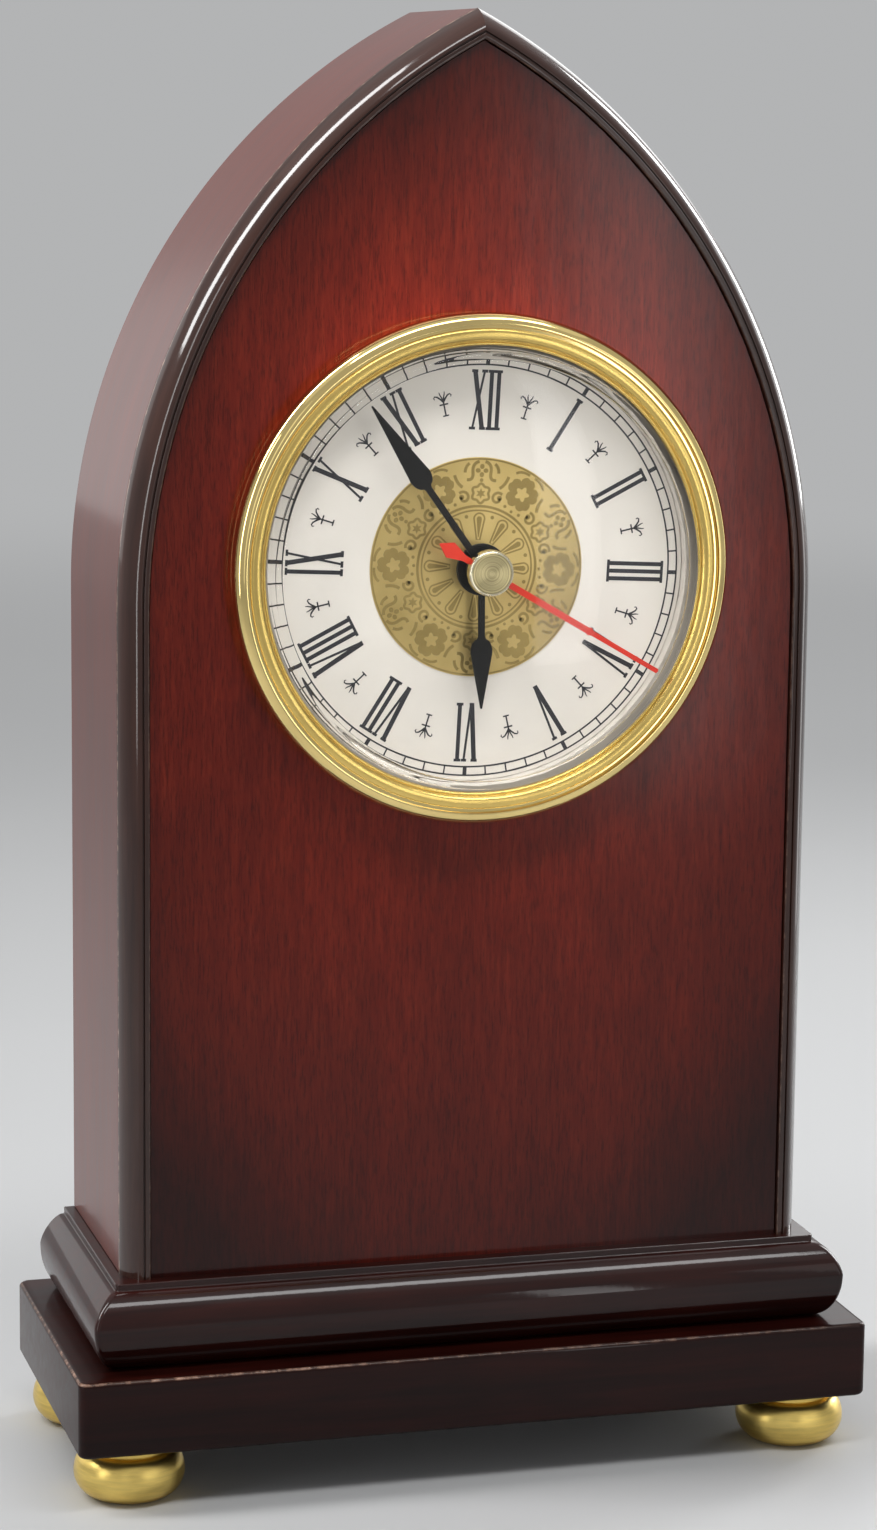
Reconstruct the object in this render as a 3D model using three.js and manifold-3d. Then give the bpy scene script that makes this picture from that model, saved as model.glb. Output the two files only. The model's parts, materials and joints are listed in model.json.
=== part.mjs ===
// Desk clock in a lancet case on a bullnosed plinth, a slab and four bun feet, with a pressed-in quartz insert.
// Millimetres, Z up, the front faces -Y, the origin lies on the floor under the middle of the slab.
import * as THREE from "three";
import { mergeVertices } from "three/addons/utils/BufferGeometryUtils.js";
import Module from "manifold-3d";

const wasm = await Module();
wasm.setup();

// Case
const caseWidth = 128;
const caseDepth = 48.5;
const springRise = 119;
const archRadius = 117;
const archSteps = 18;
const sideThickness = 10;
const panelThickness = 4.6;
const mouldingWidth = 4.8;
const mouldingQuirk = 0.9;
const mouldingRise = 0.9;
const mouldingSteps = 7;
const insertBoardThickness = 9;
const backThickness = 4;
const backRecess = 1.5;
const backLip = 4;
const backOpeningRadius = 38;
const dialRise = 126;

// Plinth, slab and feet
const plinthHeight = 15.2;
const stepHeight = 1.3;
const stepInset = 0.4;
const bullnoseTopInset = 4.2;
const bullnoseFootInset = 4.5;
const bullnoseWidestRise = 8.3;
const bullnoseSteps = 6;
const sideLedge = 1.9;
const frontLedge = 2.6;
const slabLedge = 3.5;
const slabBackLedge = 4.8;
const slabHeight = 14;
const slabArris = 0.9;
const slabCorner = 1.8;
const slabCornerSteps = 3;
const footHeight = 10.5;
const footRadius = 10;
const footWaist = 7.2;
const footBulge = 4.7;
const footCollar = 0.9;
const footNeckStart = 20;
const footInset = 11;

// Screws of the case
const footScrewRadius = 1.7;
const footScrewHead = 3.4;
const footScrewHeadHeight = 2;
const footScrewSeat = 5.25;
const footScrewBite = 9;
const baseScrewRadius = 2;
const baseScrewHead = 4;
const baseScrewHeadHeight = 2.4;
const baseScrewSink = 1;
const baseScrewBite = 14;
const backScrewRadius = 1.2;
const backScrewHead = 2.5;
const backScrewHeadHeight = 1.3;
const backScrewBite = 9;
const backScrewLow = 30;
const backScrewArchStep = 8;
const slotWidth = 0.7;
const slotDepth = 0.8;

// Insert, with heights ahead of the panel face
const dialRadius = 38.4;
const dialThickness = 0.8;
const dialSetBack = 1.1;
const foilMargin = 18.9;
const foilThickness = 0.15;
const carrierWall = 1.2;
const carrierFloor = 2;
const carrierFlangeWidth = 0.6;
const carrierFlangeBottom = 0.6;
const carrierLength = 13;
const gripThickness = 1.6;
const gripRib = 0.6;
const gripStart = 1;
const gripRibPitch = 5;
const gripRibs = 2;
const bezelHeight = 5.9;
const bezelRimWidth = 2.2;
const bezelRimMiddle = 3.55;
const bezelRimStart = -40;
const bezelRimEnd = 80;
const bezelUndercut = 1.3;
const bezelGrooveWidth = 0.6;
const bezelGrooveDepth = 0.9;
const bezelBandWidth = 2.1;
const bezelBandHeight = 5.3;
const bezelLipWidth = 0.8;
const bezelLipHeight = 4.2;
const bezelLipThickness = 0.6;
const lensFlangeThickness = 1.2;
const lensShoulder = 8.4;
const lensTop = 10.6;
const lensThickness = 1.3;
const lensWallLean = 0.9;
const lensDomeStart = 12;
const lensDomeSteps = 5;
const insertTurn = 2.7;

// Hands, with heights above the dial face and gaps from each tip to the rim of the dial
const shownHours = 5;
const shownMinutes = 53.63;
const shownSeconds = 19.6;
const handThickness = 0.5;
const hourHeight = 3.2;
const hourTipGap = 13.5;
const hourSpadeLength = 12.5;
const hourHub = 4.6;
const hourHubThickness = 1;
const minuteHeight = 5.3;
const minuteTipGap = 2.6;
const minuteSpadeLength = 17.4;
const minuteHub = 3.4;
const minuteHubThickness = 1.2;
const spadeWidth = 4;
const spadeShoulder = 2.4;
const stemWidth = 1.2;
const handPointWidth = 0.3;
const secondHeight = 7.2;
const secondThickness = 0.3;
const secondTipGap = 1.6;
const secondPointLength = 15.1;
const secondWidth = 1.15;
const secondPointWidth = 0.9;
const secondTail = 10.2;
const secondTailWidest = 8;
const secondTailWidth = 3;
const secondTailNeck = 5;
const secondHub = 2.6;
const capRadius = 4.1;
const capTop = 10;
const capBevel = 0.5;

// Movement, with depths behind its front face
const movementGap = 1;
const movementDepth = 15.5;
const movementCorner = 5;
const shellWall = 1.4;
const shellJoint = 8;
const bayWall = 1.2;
const bayFloor = 0.8;
const screwBossRadius = 2.4;
const screwBossGap = 0.4;
const screwRadius = 0.95;
const screwHead = 1.9;
const screwHeadHeight = 1.2;
const trainPlateDepth = 4.9;
const trainPlateThickness = 0.8;

// Train: leaves and teeth, modules, and where each axis stands round the dial axis
const wheelThickness = 0.7;
const pinionLength = 1.1;
const rotorLeaves = 6;
const intermediateTeeth = 36;
const intermediateModule = 0.25;
const intermediateLeaves = 8;
const secondsTeeth = 40;
const secondsModule = 0.27;
const secondsLeaves = 6;
const thirdTeeth = 45;
const thirdModule = 0.3;
const thirdLeaves = 6;
const centreTeeth = 48;
const cannonLeaves = 10;
const minuteTeeth = 30;
const minuteLeaves = 8;
const hourTeeth = 32;
const motionModule = 0.45;
const thirdDirection = 125;
const intermediateDirection = 70;
const rotorDirection = 20;
const minuteDirection = 5;
const hourWheelDepth = 2;
const minuteWheelDepth = 3.4;
const centreWheelDepth = 6;
const thirdWheelDepth = 7.5;
const secondsWheelDepth = 8.9;
const intermediateWheelDepth = 10.2;
const washerThickness = 0.3;
const dialWasherRadius = 5;
const minuteWasherRadius = 3.6;
const hourPipeRadius = 2.5;
const hourPipeBore = 1.9;
const minutePipeRadius = 1.6;
const minutePipeBore = 0.8;
const secondsArborRadius = 0.5;
const trainArborRadius = 0.5;
const minuteArborRadius = 1;
const bearingBossWall = 0.65;
const rotorRadius = 1.5;
const rotorLength = 1.6;
const rotorGap = 0.5;
const statorThickness = 0.8;
const statorDepth = 11.4;
const statorMargin = 1.8;
const statorCoreWidth = 2;
const statorWindow = 6.2;
const coilRadius = 2.2;
const coilLength = 13;
const coilFlange = 0.8;
const boardWidth = 12.5;
const boardHeight = 15;
const boardThickness = 0.8;
const boardGap = 0.9;
const knobRadius = 5.5;
const knobLength = 4.5;
const knobFlutes = 14;
const knobFluteDepth = 0.6;
const knobGap = 0.5;

// Cell and contacts
const cellRadius = 7.15;
const cellEdge = 0.5;
const cellNubRadius = 2.75;
const cellNubLength = 1.2;
const contactThickness = 0.5;
const contactWidth = 9;
const contactReach = 1.6;

// Sides and steps of round shapes
const screwSides = 10;
const backScrewSides = 12;
const footSides = 18;
const footSteps = 5;
const footNeckSteps = 3;
const bezelSides = 48;
const bezelSteps = 6;
const carrierSides = 40;
const dialSides = 36;
const foilSides = 30;
const panelHoleSteps = 28;
const boardHoleSteps = 18;
const backHoleSteps = 20;
const handSteps = 6;
const hubSides = 20;
const capSides = 24;
const arborSides = 12;
const boreSides = 16;
const washerSides = 18;
const coilSides = 14;
const cellSides = 24;

// Clearances
const glueGap = 0.2;
const turnGap = 0.3;
const pressGap = 0.1;
const runGap = 0.15;
const screwGap = 0.3;

// Levels, planes and radii that follow from the sizes above
const slabTop = footHeight + slabHeight;
const plinthTop = slabTop + plinthHeight;
const flatInset = bullnoseTopInset + stepInset;
const plinthWidth = caseWidth + 2 * (sideLedge + flatInset);
const plinthDepth = caseDepth + frontLedge + flatInset;
const slabWidth = plinthWidth + 2 * slabLedge;
const slabDepth = plinthDepth + slabLedge + slabBackLedge;
const plinthFront = slabLedge - slabDepth / 2;
const plinthBack = plinthFront + plinthDepth;
const frontY = plinthBack - caseDepth;
const boardY = frontY + panelThickness;
const rebateY = plinthBack - backThickness - backRecess;
const backFace = rebateY + backThickness;
const skirtInner = dialRadius + glueGap;
const skirtOuter = skirtInner + carrierWall;
const flangeRadius = skirtOuter + carrierFlangeWidth;
const gripInner = skirtOuter + glueGap;
const gripOuter = gripInner + gripThickness;
const insertHole = gripOuter + turnGap;
const dialBack = dialSetBack + dialThickness;
const carrierBack = dialBack + carrierFloor;
const dialDepth = carrierBack - dialSetBack;
const half = (skirtInner - movementGap - movementCorner) / Math.SQRT2 + movementCorner;

// Looks
const look = {
  panel: { color: 0x6a2a1a, roughness: 0.2, metalness: 0 },
  side: { color: 0x7a463a, roughness: 0.25, metalness: 0 },
  dark: { color: 0x2a1512, roughness: 0.25, metalness: 0 },
  board: { color: 0xa98058, roughness: 0.8, metalness: 0 },
  brass: { color: 0xc9a04a, roughness: 0.2, metalness: 1 },
  gold: { color: 0xd2ab54, roughness: 0.35, metalness: 0.9 },
  steel: { color: 0x9a9a98, roughness: 0.35, metalness: 1 },
  dial: { color: 0xece6cf, roughness: 0.6, metalness: 0 },
  lens: { color: 0xf4f4f0, roughness: 0.05, metalness: 0, transparent: true, opacity: 0.2 },
  black: { color: 0x141313, roughness: 0.4, metalness: 0 },
  red: { color: 0xb3261c, roughness: 0.4, metalness: 0 },
  ivory: { color: 0xd8d4c4, roughness: 0.5, metalness: 0 },
  rubber: { color: 0x1d1c1b, roughness: 0.9, metalness: 0 },
  green: { color: 0x2f5f3a, roughness: 0.5, metalness: 0 },
  copper: { color: 0xa65a32, roughness: 0.4, metalness: 0.8 },
  cell: { color: 0x4a4c50, roughness: 0.35, metalness: 0.3 },
};

// The base stands on the floor, the case on the plinth, the insert in the case, the movement and hands in the insert
const clock = new THREE.Group();
clock.name = "desk_clock";
function addGroup(parent, x, y, z) {
  const group = new THREE.Group();
  group.position.set(x, y, z);
  parent.add(group);
  return group;
}
const baseGroup = addGroup(clock, 0, 0, 0);
const caseGroup = addGroup(clock, 0, 0, plinthTop);
const insertGroup = addGroup(caseGroup, 0, frontY, dialRise);
const handsGroup = addGroup(insertGroup, 0, dialSetBack, 0);
handsGroup.rotation.y = THREE.MathUtils.degToRad(insertTurn);
const movementGroup = addGroup(insertGroup, 0, carrierBack, 0);

// A closed geometry as a solid, turned right side out
function solid(geometry) {
  const bare = new THREE.BufferGeometry();
  bare.setAttribute("position", geometry.getAttribute("position"));
  bare.setIndex(geometry.getIndex());
  const merged = mergeVertices(bare);
  const triangles = [];
  for (let i = 0; i < merged.index.count; i += 3) {
    const [a, b, c] = [0, 1, 2].map((n) => merged.index.getX(i + n));
    if (a !== b && b !== c && c !== a) {
      triangles.push([a, b, c]);
    }
  }
  const made = (turned) =>
    new wasm.Manifold(
      new wasm.Mesh({
        numProp: 3,
        vertProperties: new Float32Array(merged.getAttribute("position").array),
        triVerts: new Uint32Array(triangles.flatMap(([a, b, c]) => (turned ? [a, c, b] : [a, b, c]))),
      }),
    );
  const body = made(false);
  return body.volume() < 0 ? made(true) : body;
}

function joined(bodies) {
  return bodies.reduce((whole, body) => whole.add(body));
}

function cut(body, tools) {
  return tools.reduce((rest, tool) => rest.subtract(tool), body);
}

// A named mesh in its group, at a place and turned about its own Y axis
function addPiece(group, name, body, finish, place = [0, 0, 0], degrees = 0) {
  const made = body.getMesh();
  const geometry = new THREE.BufferGeometry();
  geometry.setAttribute("position", new THREE.BufferAttribute(new Float32Array(made.vertProperties), 3));
  geometry.setIndex(new THREE.BufferAttribute(new Uint32Array(made.triVerts), 1));
  geometry.computeVertexNormals();
  const mesh = new THREE.Mesh(geometry, new THREE.MeshStandardMaterial(finish));
  mesh.name = name;
  mesh.position.set(...place);
  mesh.rotation.y = THREE.MathUtils.degToRad(degrees);
  group.add(mesh);
}

// Rings of equal count joined in order, closed at both ends by the contour
function loft(rings, contour) {
  const count = contour.length;
  const index = [];
  for (let ring = 0; ring + 1 < rings.length; ring += 1) {
    for (let i = 0; i < count; i += 1) {
      const a = ring * count + i;
      const b = ring * count + ((i + 1) % count);
      index.push(a, b, b + count, a, b + count, a + count);
    }
  }
  const outline = contour.map(([u, v]) => new THREE.Vector2(u, v));
  const clockwise = THREE.ShapeUtils.isClockWise(outline);
  const last = (rings.length - 1) * count;
  for (const [a, p, q] of THREE.ShapeUtils.triangulateShape(outline, [])) {
    const [b, c] = clockwise ? [q, p] : [p, q];
    index.push(a, c, b, last + a, last + b, last + c);
  }
  const geometry = new THREE.BufferGeometry();
  geometry.setAttribute("position", new THREE.Float32BufferAttribute(rings.flat(2), 3));
  geometry.setIndex(index);
  return solid(geometry);
}

function arc(centre, radii, from, to, steps) {
  return Array.from({ length: steps + 1 }, (_, i) => {
    const angle = THREE.MathUtils.degToRad(from + ((to - from) * i) / steps);
    return [centre[0] + radii[0] * Math.cos(angle), centre[1] + radii[1] * Math.sin(angle)];
  });
}

// A flat shape drawn in X and Z, standing between two depths
function plate(shape, y0, y1, curveSegments = 2) {
  const geometry = new THREE.ExtrudeGeometry(shape, { depth: y1 - y0, bevelEnabled: false, curveSegments });
  return solid(geometry.rotateX(Math.PI / 2).translate(0, y1, 0));
}

function polygon(points) {
  return new THREE.Shape(points.map(([x, z]) => new THREE.Vector2(x, z)));
}

function roundedShape(x0, z0, x1, z1, radius) {
  const shape = new THREE.Shape();
  shape.absarc(x1 - radius, z0 + radius, radius, -Math.PI / 2, 0);
  shape.absarc(x1 - radius, z1 - radius, radius, 0, Math.PI / 2);
  shape.absarc(x0 + radius, z1 - radius, radius, Math.PI / 2, Math.PI);
  shape.absarc(x0 + radius, z0 + radius, radius, Math.PI, 1.5 * Math.PI);
  return shape;
}

// Rods, holes and turned pieces about an axis along Y, Z or X
function rod(place, radius, y0, y1, sides) {
  const geometry = new THREE.CylinderGeometry(radius, radius, y1 - y0, sides);
  return solid(geometry.translate(place[0], (y0 + y1) / 2, place[1]));
}

function lathe(profile, sides) {
  return new THREE.LatheGeometry(profile.map(([r, along]) => new THREE.Vector2(r, along)), sides);
}

function turned(profile, sides) {
  return solid(lathe(profile, sides));
}

function turnedUpright(profile, sides, place = [0, 0, 0]) {
  return solid(lathe(profile, sides).rotateX(Math.PI / 2).translate(...place));
}

function turnedAcross(profile, sides) {
  return solid(lathe(profile, sides).rotateZ(-Math.PI / 2));
}

function closedProfile(points) {
  return [...points, points[0]];
}

// Feet, their screws and the holes for them; a foot and its screw stand on one upright axis
const footPlaces = [
  ["front_left", -1, -1],
  ["front_right", 1, -1],
  ["back_left", -1, 1],
  ["back_right", 1, 1],
].map(([name, sx, sy]) => [name, sx * (slabWidth / 2 - footInset), sy * (slabDepth / 2 - footInset)]);
const footScrewEnd = footHeight + footScrewBite;
function footHole(place) {
  const profile = [
    [0, -screwGap],
    [footScrewHead + screwGap, -screwGap],
    [footScrewHead + screwGap, footScrewSeat],
    [footScrewRadius + screwGap, footScrewSeat],
    [footScrewRadius + screwGap, footScrewEnd + screwGap],
    [0, footScrewEnd + screwGap],
  ];
  return turnedUpright(profile, screwSides, place);
}
const footNeckHeight = footHeight - 2 * footCollar - footBulge;
const footProfile = [
  [0, 0],
  ...arc([footRadius - footBulge, footBulge], [footBulge, footBulge], 270, 360, footSteps),
  ...arc([footWaist, footBulge], [footRadius - footWaist, footNeckHeight], footNeckStart, 90, footNeckSteps),
  [footWaist, footHeight - footCollar],
  [footWaist + footCollar, footHeight - footCollar],
  [footWaist + footCollar, footHeight],
  [0, footHeight],
];
function slottedScrew(headRadius, headHeight, radius, length) {
  const profile = [
    [0, 0],
    [headRadius, 0],
    [headRadius, headHeight],
    [radius, headHeight],
    [radius, length - radius],
    [0, length],
  ];
  const slot = solid(new THREE.BoxGeometry(3 * headRadius, slotWidth, 2 * slotDepth));
  return cut(turnedUpright(profile, screwSides), [slot]);
}
const footScrewBottom = footScrewSeat - footScrewHeadHeight;
footPlaces.forEach(([name, x, y]) => {
  const foot = cut(turnedUpright(footProfile, footSides), [footHole([0, 0, 0])]);
  addPiece(baseGroup, "foot_" + name, foot, look.brass, [x, y, 0]);
  const length = footScrewEnd - footScrewBottom;
  const screw = slottedScrew(footScrewHead, footScrewHeadHeight, footScrewRadius, length);
  addPiece(baseGroup, "foot_screw_" + name, screw, look.steel, [x, y, footScrewBottom]);
});

// Screws that hold the slab and the plinth to the sides of the case
const baseScrewX = caseWidth / 2 - sideThickness / 2;
const baseScrewY = (boardY + rebateY) / 2;
const baseScrewBottom = footHeight + baseScrewSink;
const baseScrewHeadTop = baseScrewBottom + baseScrewHeadHeight;
const baseScrewEnd = plinthTop + baseScrewBite;
function baseHoles(level) {
  const profile = [
    [0, footHeight - screwGap],
    [baseScrewHead + screwGap, footHeight - screwGap],
    [baseScrewHead + screwGap, baseScrewHeadTop],
    [baseScrewRadius + screwGap, baseScrewHeadTop],
    [baseScrewRadius + screwGap, baseScrewEnd + screwGap],
    [0, baseScrewEnd + screwGap],
  ];
  return [-1, 1].map((hand) => turnedUpright(profile, screwSides, [hand * baseScrewX, baseScrewY, -level]));
}
["left", "right"].forEach((name, i) => {
  const length = baseScrewEnd - baseScrewBottom;
  const screw = slottedScrew(baseScrewHead, baseScrewHeadHeight, baseScrewRadius, length);
  const x = (i ? 1 : -1) * baseScrewX;
  addPiece(baseGroup, "base_screw_" + name, screw, look.steel, [x, baseScrewY, baseScrewBottom]);
});

// Slab
const slabEdge = [
  ...arc([slabArris, slabArris], [slabArris, slabArris], 270, 180, 2),
  ...arc([slabArris, slabHeight - slabArris], [slabArris, slabArris], 180, 90, 2),
];
function slabRing(inset) {
  const shape = roundedShape(
    inset - slabWidth / 2,
    inset - slabDepth / 2,
    slabWidth / 2 - inset,
    slabDepth / 2 - inset,
    slabCorner - inset / 2,
  );
  return shape.getPoints(slabCornerSteps).map((p) => [p.x, p.y]);
}
const slabBody = loft(
  slabEdge.map(([inset, z]) => slabRing(inset).map(([x, y]) => [x, y, z])),
  slabRing(0),
);
const slabHoles = [...baseHoles(footHeight), ...footPlaces.map(([, x, y]) => footHole([x, y, -footHeight]))];
addPiece(baseGroup, "base_slab", cut(slabBody, slabHoles), look.dark, [0, 0, footHeight]);

// Plinth: a bullnose on the front and the ends, a small step, and a flat back
const bullnoseTopRise = plinthHeight - stepHeight - bullnoseWidestRise;
const bullnoseFoot = [bullnoseFootInset, bullnoseWidestRise];
const plinthEdge = [
  ...arc(bullnoseFoot, bullnoseFoot, 270, 180, bullnoseSteps),
  ...arc([bullnoseTopInset, bullnoseWidestRise], [bullnoseTopInset, bullnoseTopRise], 180, 90, bullnoseSteps).slice(1),
  [flatInset, plinthHeight - stepHeight],
  [flatInset, plinthHeight],
];
function plinthRing(inset) {
  const reach = plinthWidth / 2 - inset;
  return [
    [-reach, plinthFront + inset],
    [reach, plinthFront + inset],
    [reach, plinthBack],
    [-reach, plinthBack],
  ];
}
const plinthBody = loft(
  plinthEdge.map(([inset, z]) => plinthRing(inset).map(([x, y]) => [x, y, z])),
  plinthRing(0),
);
addPiece(baseGroup, "plinth", cut(plinthBody, baseHoles(slabTop)), look.dark, [0, 0, slabTop]);

// Case outline set in by an inset: step 0 on the plinth, step 1 on the spring line, the rest up the arch
function outlinePoint(hand, inset, step) {
  const centreX = archRadius - caseWidth / 2;
  if (step === 0) {
    return [hand * (caseWidth / 2 - inset), 0];
  }
  const radius = archRadius - inset;
  const angle = (Math.acos(centreX / radius) * (step - 1)) / archSteps;
  return [hand * (radius * Math.cos(angle) - centreX), springRise + radius * Math.sin(angle)];
}
function caseStrip(hand, profile) {
  const rings = [];
  for (let step = 0; step <= archSteps + 1; step += 1) {
    rings.push(
      profile.map(([inset, y]) => {
        const [x, z] = outlinePoint(hand, inset, step);
        return [x, y, z];
      }),
    );
  }
  return loft(rings, profile);
}
function lancetShape(inset) {
  const right = [];
  const left = [];
  for (let step = 0; step <= archSteps; step += 1) {
    right.push(outlinePoint(1, inset, step));
    left.unshift(outlinePoint(-1, inset, step));
  }
  return polygon([...right, outlinePoint(1, inset, archSteps + 1), ...left]);
}
function lancetPlate(inset, holeRadius, y0, y1, holeSteps) {
  const shape = lancetShape(inset);
  const hole = new THREE.Path();
  hole.absarc(0, dialRise, holeRadius, 0, 2 * Math.PI, true);
  shape.holes.push(hole);
  return plate(shape, y0, y1, holeSteps);
}

// Back screws stand in the ledge of the rebate
const ledgeInset = (backLip + sideThickness) / 2;
const backScrewPlaces = [-1, 1].flatMap((hand) => [
  [outlinePoint(hand, ledgeInset, 0)[0], backScrewLow],
  outlinePoint(hand, ledgeInset, backScrewArchStep),
]);
const backScrewFront = rebateY - backScrewBite;
const backHoles = backScrewPlaces.map((place) =>
  rod(place, backScrewRadius + screwGap, backScrewFront - screwGap, plinthBack, screwSides),
);

// Sides and edge mouldings
const sideProfile = [
  [0, boardY],
  [sideThickness, boardY],
  [sideThickness, rebateY],
  [backLip, rebateY],
  [backLip, plinthBack],
  [0, plinthBack],
];
const mouldingRound = mouldingWidth - mouldingQuirk;
const mouldingProfile = [
  ...arc([mouldingRound, boardY], [mouldingRound, panelThickness + mouldingRise], 180, 270, mouldingSteps),
  [mouldingWidth, frontY - mouldingRise],
  [mouldingWidth, boardY],
];
const sideCuts = [...baseHoles(plinthTop), ...backHoles];
["left", "right"].forEach((name, i) => {
  const hand = i ? 1 : -1;
  addPiece(caseGroup, name + "_side", cut(caseStrip(hand, sideProfile), sideCuts), look.side);
  addPiece(caseGroup, name + "_moulding", caseStrip(hand, mouldingProfile), look.dark);
});

// Front panel, insert board and back panel
const boardBack = boardY + insertBoardThickness;
const panelBody = lancetPlate(mouldingWidth + glueGap, insertHole, frontY, boardY, panelHoleSteps);
addPiece(caseGroup, "front_panel", panelBody, look.panel);
const boardBody = lancetPlate(sideThickness + turnGap, insertHole, boardY, boardBack, boardHoleSteps);
addPiece(caseGroup, "insert_board", boardBody, look.board);
const backBody = lancetPlate(backLip + turnGap, backOpeningRadius, rebateY, backFace, backHoleSteps);
addPiece(caseGroup, "back_panel", cut(backBody, backHoles), look.dark);
backScrewPlaces.forEach(([x, z], i) => {
  const profile = [
    [0, -backThickness - backScrewBite],
    [backScrewRadius, backScrewRadius - backThickness - backScrewBite],
    [backScrewRadius, 0],
    [backScrewHead, 0],
    [backScrewHead, backScrewHeadHeight / 2],
    [backScrewHead / 2, backScrewHeadHeight],
    [0, backScrewHeadHeight],
  ];
  const slot = new THREE.BoxGeometry(3 * backScrewHead, 2 * slotDepth, slotWidth);
  const screw = cut(turned(profile, backScrewSides), [solid(slot.translate(0, backScrewHeadHeight, 0))]);
  addPiece(caseGroup, "back_screw_" + (i + 1), screw, look.steel, [x, backFace, z]);
});

// Pieces turned about the dial axis
function turnedInsert(profile, sides) {
  return turned(profile.map(([r, ahead]) => [r, -ahead]), sides);
}

// Bezel: a rolled rim, a groove, a shallow band and a lip over the lens
const lensWall = dialRadius + lensWallLean;
const bezelLip = lensWall + glueGap;
const bandInner = bezelLip + bezelLipWidth;
const bandOuter = bandInner + bezelBandWidth;
const grooveOuter = bandOuter + bezelGrooveWidth;
const bezelRadius = grooveOuter + bezelRimWidth;
const bezelBore = flangeRadius + glueGap;
const lipUnder = bezelLipHeight - bezelLipThickness;
const bezelRim = [bezelRimWidth, bezelHeight - bezelRimMiddle];
const bezelProfile = closedProfile([
  [bezelBore, 0],
  [bezelRadius - bezelUndercut, 0],
  ...arc([grooveOuter, bezelRimMiddle], bezelRim, bezelRimStart, bezelRimEnd, bezelSteps),
  [grooveOuter, bezelHeight - bezelGrooveDepth],
  [bandOuter, bezelHeight - bezelGrooveDepth],
  [bandOuter, (bezelBandHeight + bezelHeight) / 2],
  [(bandOuter + bandInner) / 2, bezelBandHeight],
  [bandInner, bezelBandHeight],
  [bezelLip, bezelLipHeight],
  [bezelLip, lipUnder],
  [bezelBore, lipUnder],
]);
addPiece(insertGroup, "bezel", turnedInsert(bezelProfile, bezelSides), look.brass);

// Lens: a flange under the bezel lip, a steep wall and a low dome
const lensFlangeTop = lipUnder - pressGap;
const lensFlangeBottom = lensFlangeTop - lensFlangeThickness;
const lensFloor = lensShoulder - lensThickness;
const domeRise = lensTop - lensShoulder;
const domeOuter = [dialRadius - lensThickness, domeRise];
const domeInner = [dialRadius - 2 * lensThickness, domeRise];
const lensOuter = [
  [flangeRadius, lensFlangeBottom],
  [flangeRadius, lensFlangeTop],
  [lensWall, lensFlangeTop],
  [dialRadius, lensShoulder - lensThickness / 2],
  [dialRadius - lensThickness / 2, lensShoulder],
  ...arc([0, lensShoulder], domeOuter, lensDomeStart, 90, lensDomeSteps).slice(0, -1),
  [0, lensTop],
];
const lensInner = [
  [0, lensTop - lensThickness],
  ...arc([0, lensFloor], domeInner, 90, lensDomeStart, lensDomeSteps).slice(1),
  [dialRadius - lensThickness, lensFloor],
  [lensWall - lensThickness, lensFlangeBottom],
];
addPiece(insertGroup, "lens", turnedInsert(closedProfile([...lensOuter, ...lensInner]), carrierSides), look.lens);

// Dial and its gold centre
const centreHole = hourPipeRadius + turnGap;
const foilRadius = dialRadius - foilMargin;
const dialProfile = closedProfile([
  [centreHole, -dialBack],
  [dialRadius, -dialBack],
  [dialRadius, -dialSetBack],
  [centreHole, -dialSetBack],
]);
addPiece(insertGroup, "dial", turnedInsert(dialProfile, dialSides), look.dial);
const foilProfile = closedProfile([
  [centreHole, -dialSetBack],
  [foilRadius, -dialSetBack],
  [foilRadius, foilThickness - dialSetBack],
  [centreHole, foilThickness - dialSetBack],
]);
addPiece(insertGroup, "dial_centre", turnedInsert(foilProfile, foilSides), look.gold);

// Cell bay along the bottom of the movement, gear chamber above it, screws in the corners of the chamber
const bayHalf = half - bayWall;
const cellHeight = bayWall + turnGap + cellRadius - half;
const bayTop = cellHeight + cellRadius + turnGap;
const chamberBottom = bayTop + shellWall;
const chamberHalf = half - shellWall;
const screwReach = chamberHalf - screwBossGap - screwBossRadius;
const screwLow = chamberBottom + screwBossGap + screwBossRadius;
const screwPlaces = [
  [-screwReach, screwReach],
  [screwReach, screwReach],
  [-screwReach, screwLow],
  [screwReach, screwLow],
];
function screwHoles(front, back) {
  return screwPlaces.map((place) => rod(place, screwRadius + screwGap, front, back, screwSides));
}

// Carrier of the dial and the movement, and the rubber ring that grips the hole
const carrierProfile = closedProfile([
  [centreHole, -dialBack],
  [skirtInner, -dialBack],
  [skirtInner, lensFlangeBottom],
  [flangeRadius, lensFlangeBottom],
  [flangeRadius, carrierFlangeBottom],
  [skirtOuter, carrierFlangeBottom],
  [skirtOuter, -carrierLength],
  [skirtInner, -carrierLength],
  [skirtInner, -carrierBack],
  [centreHole, -carrierBack],
]);
const carrierHoles = screwHoles(dialBack - screwGap, carrierBack + screwGap);
addPiece(insertGroup, "dial_carrier", cut(turnedInsert(carrierProfile, carrierSides), carrierHoles), look.ivory);
const gripOutline = [];
for (let rib = 0; rib < gripRibs; rib += 1) {
  const top = -gripStart - rib * gripRibPitch;
  gripOutline.push([gripOuter - gripRib, top], [gripOuter, top - gripRibPitch / 3]);
  gripOutline.push([gripOuter, top - gripRibPitch / 2], [gripOuter - gripRib, top - (gripRibPitch * 5) / 6]);
}
const gripEnd = -gripStart - gripRibs * gripRibPitch;
const gripProfile = closedProfile([[gripInner, -gripStart], ...gripOutline, [gripInner, gripEnd]]);
addPiece(insertGroup, "grip_ring", turnedInsert(gripProfile, carrierSides), look.rubber);

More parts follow.
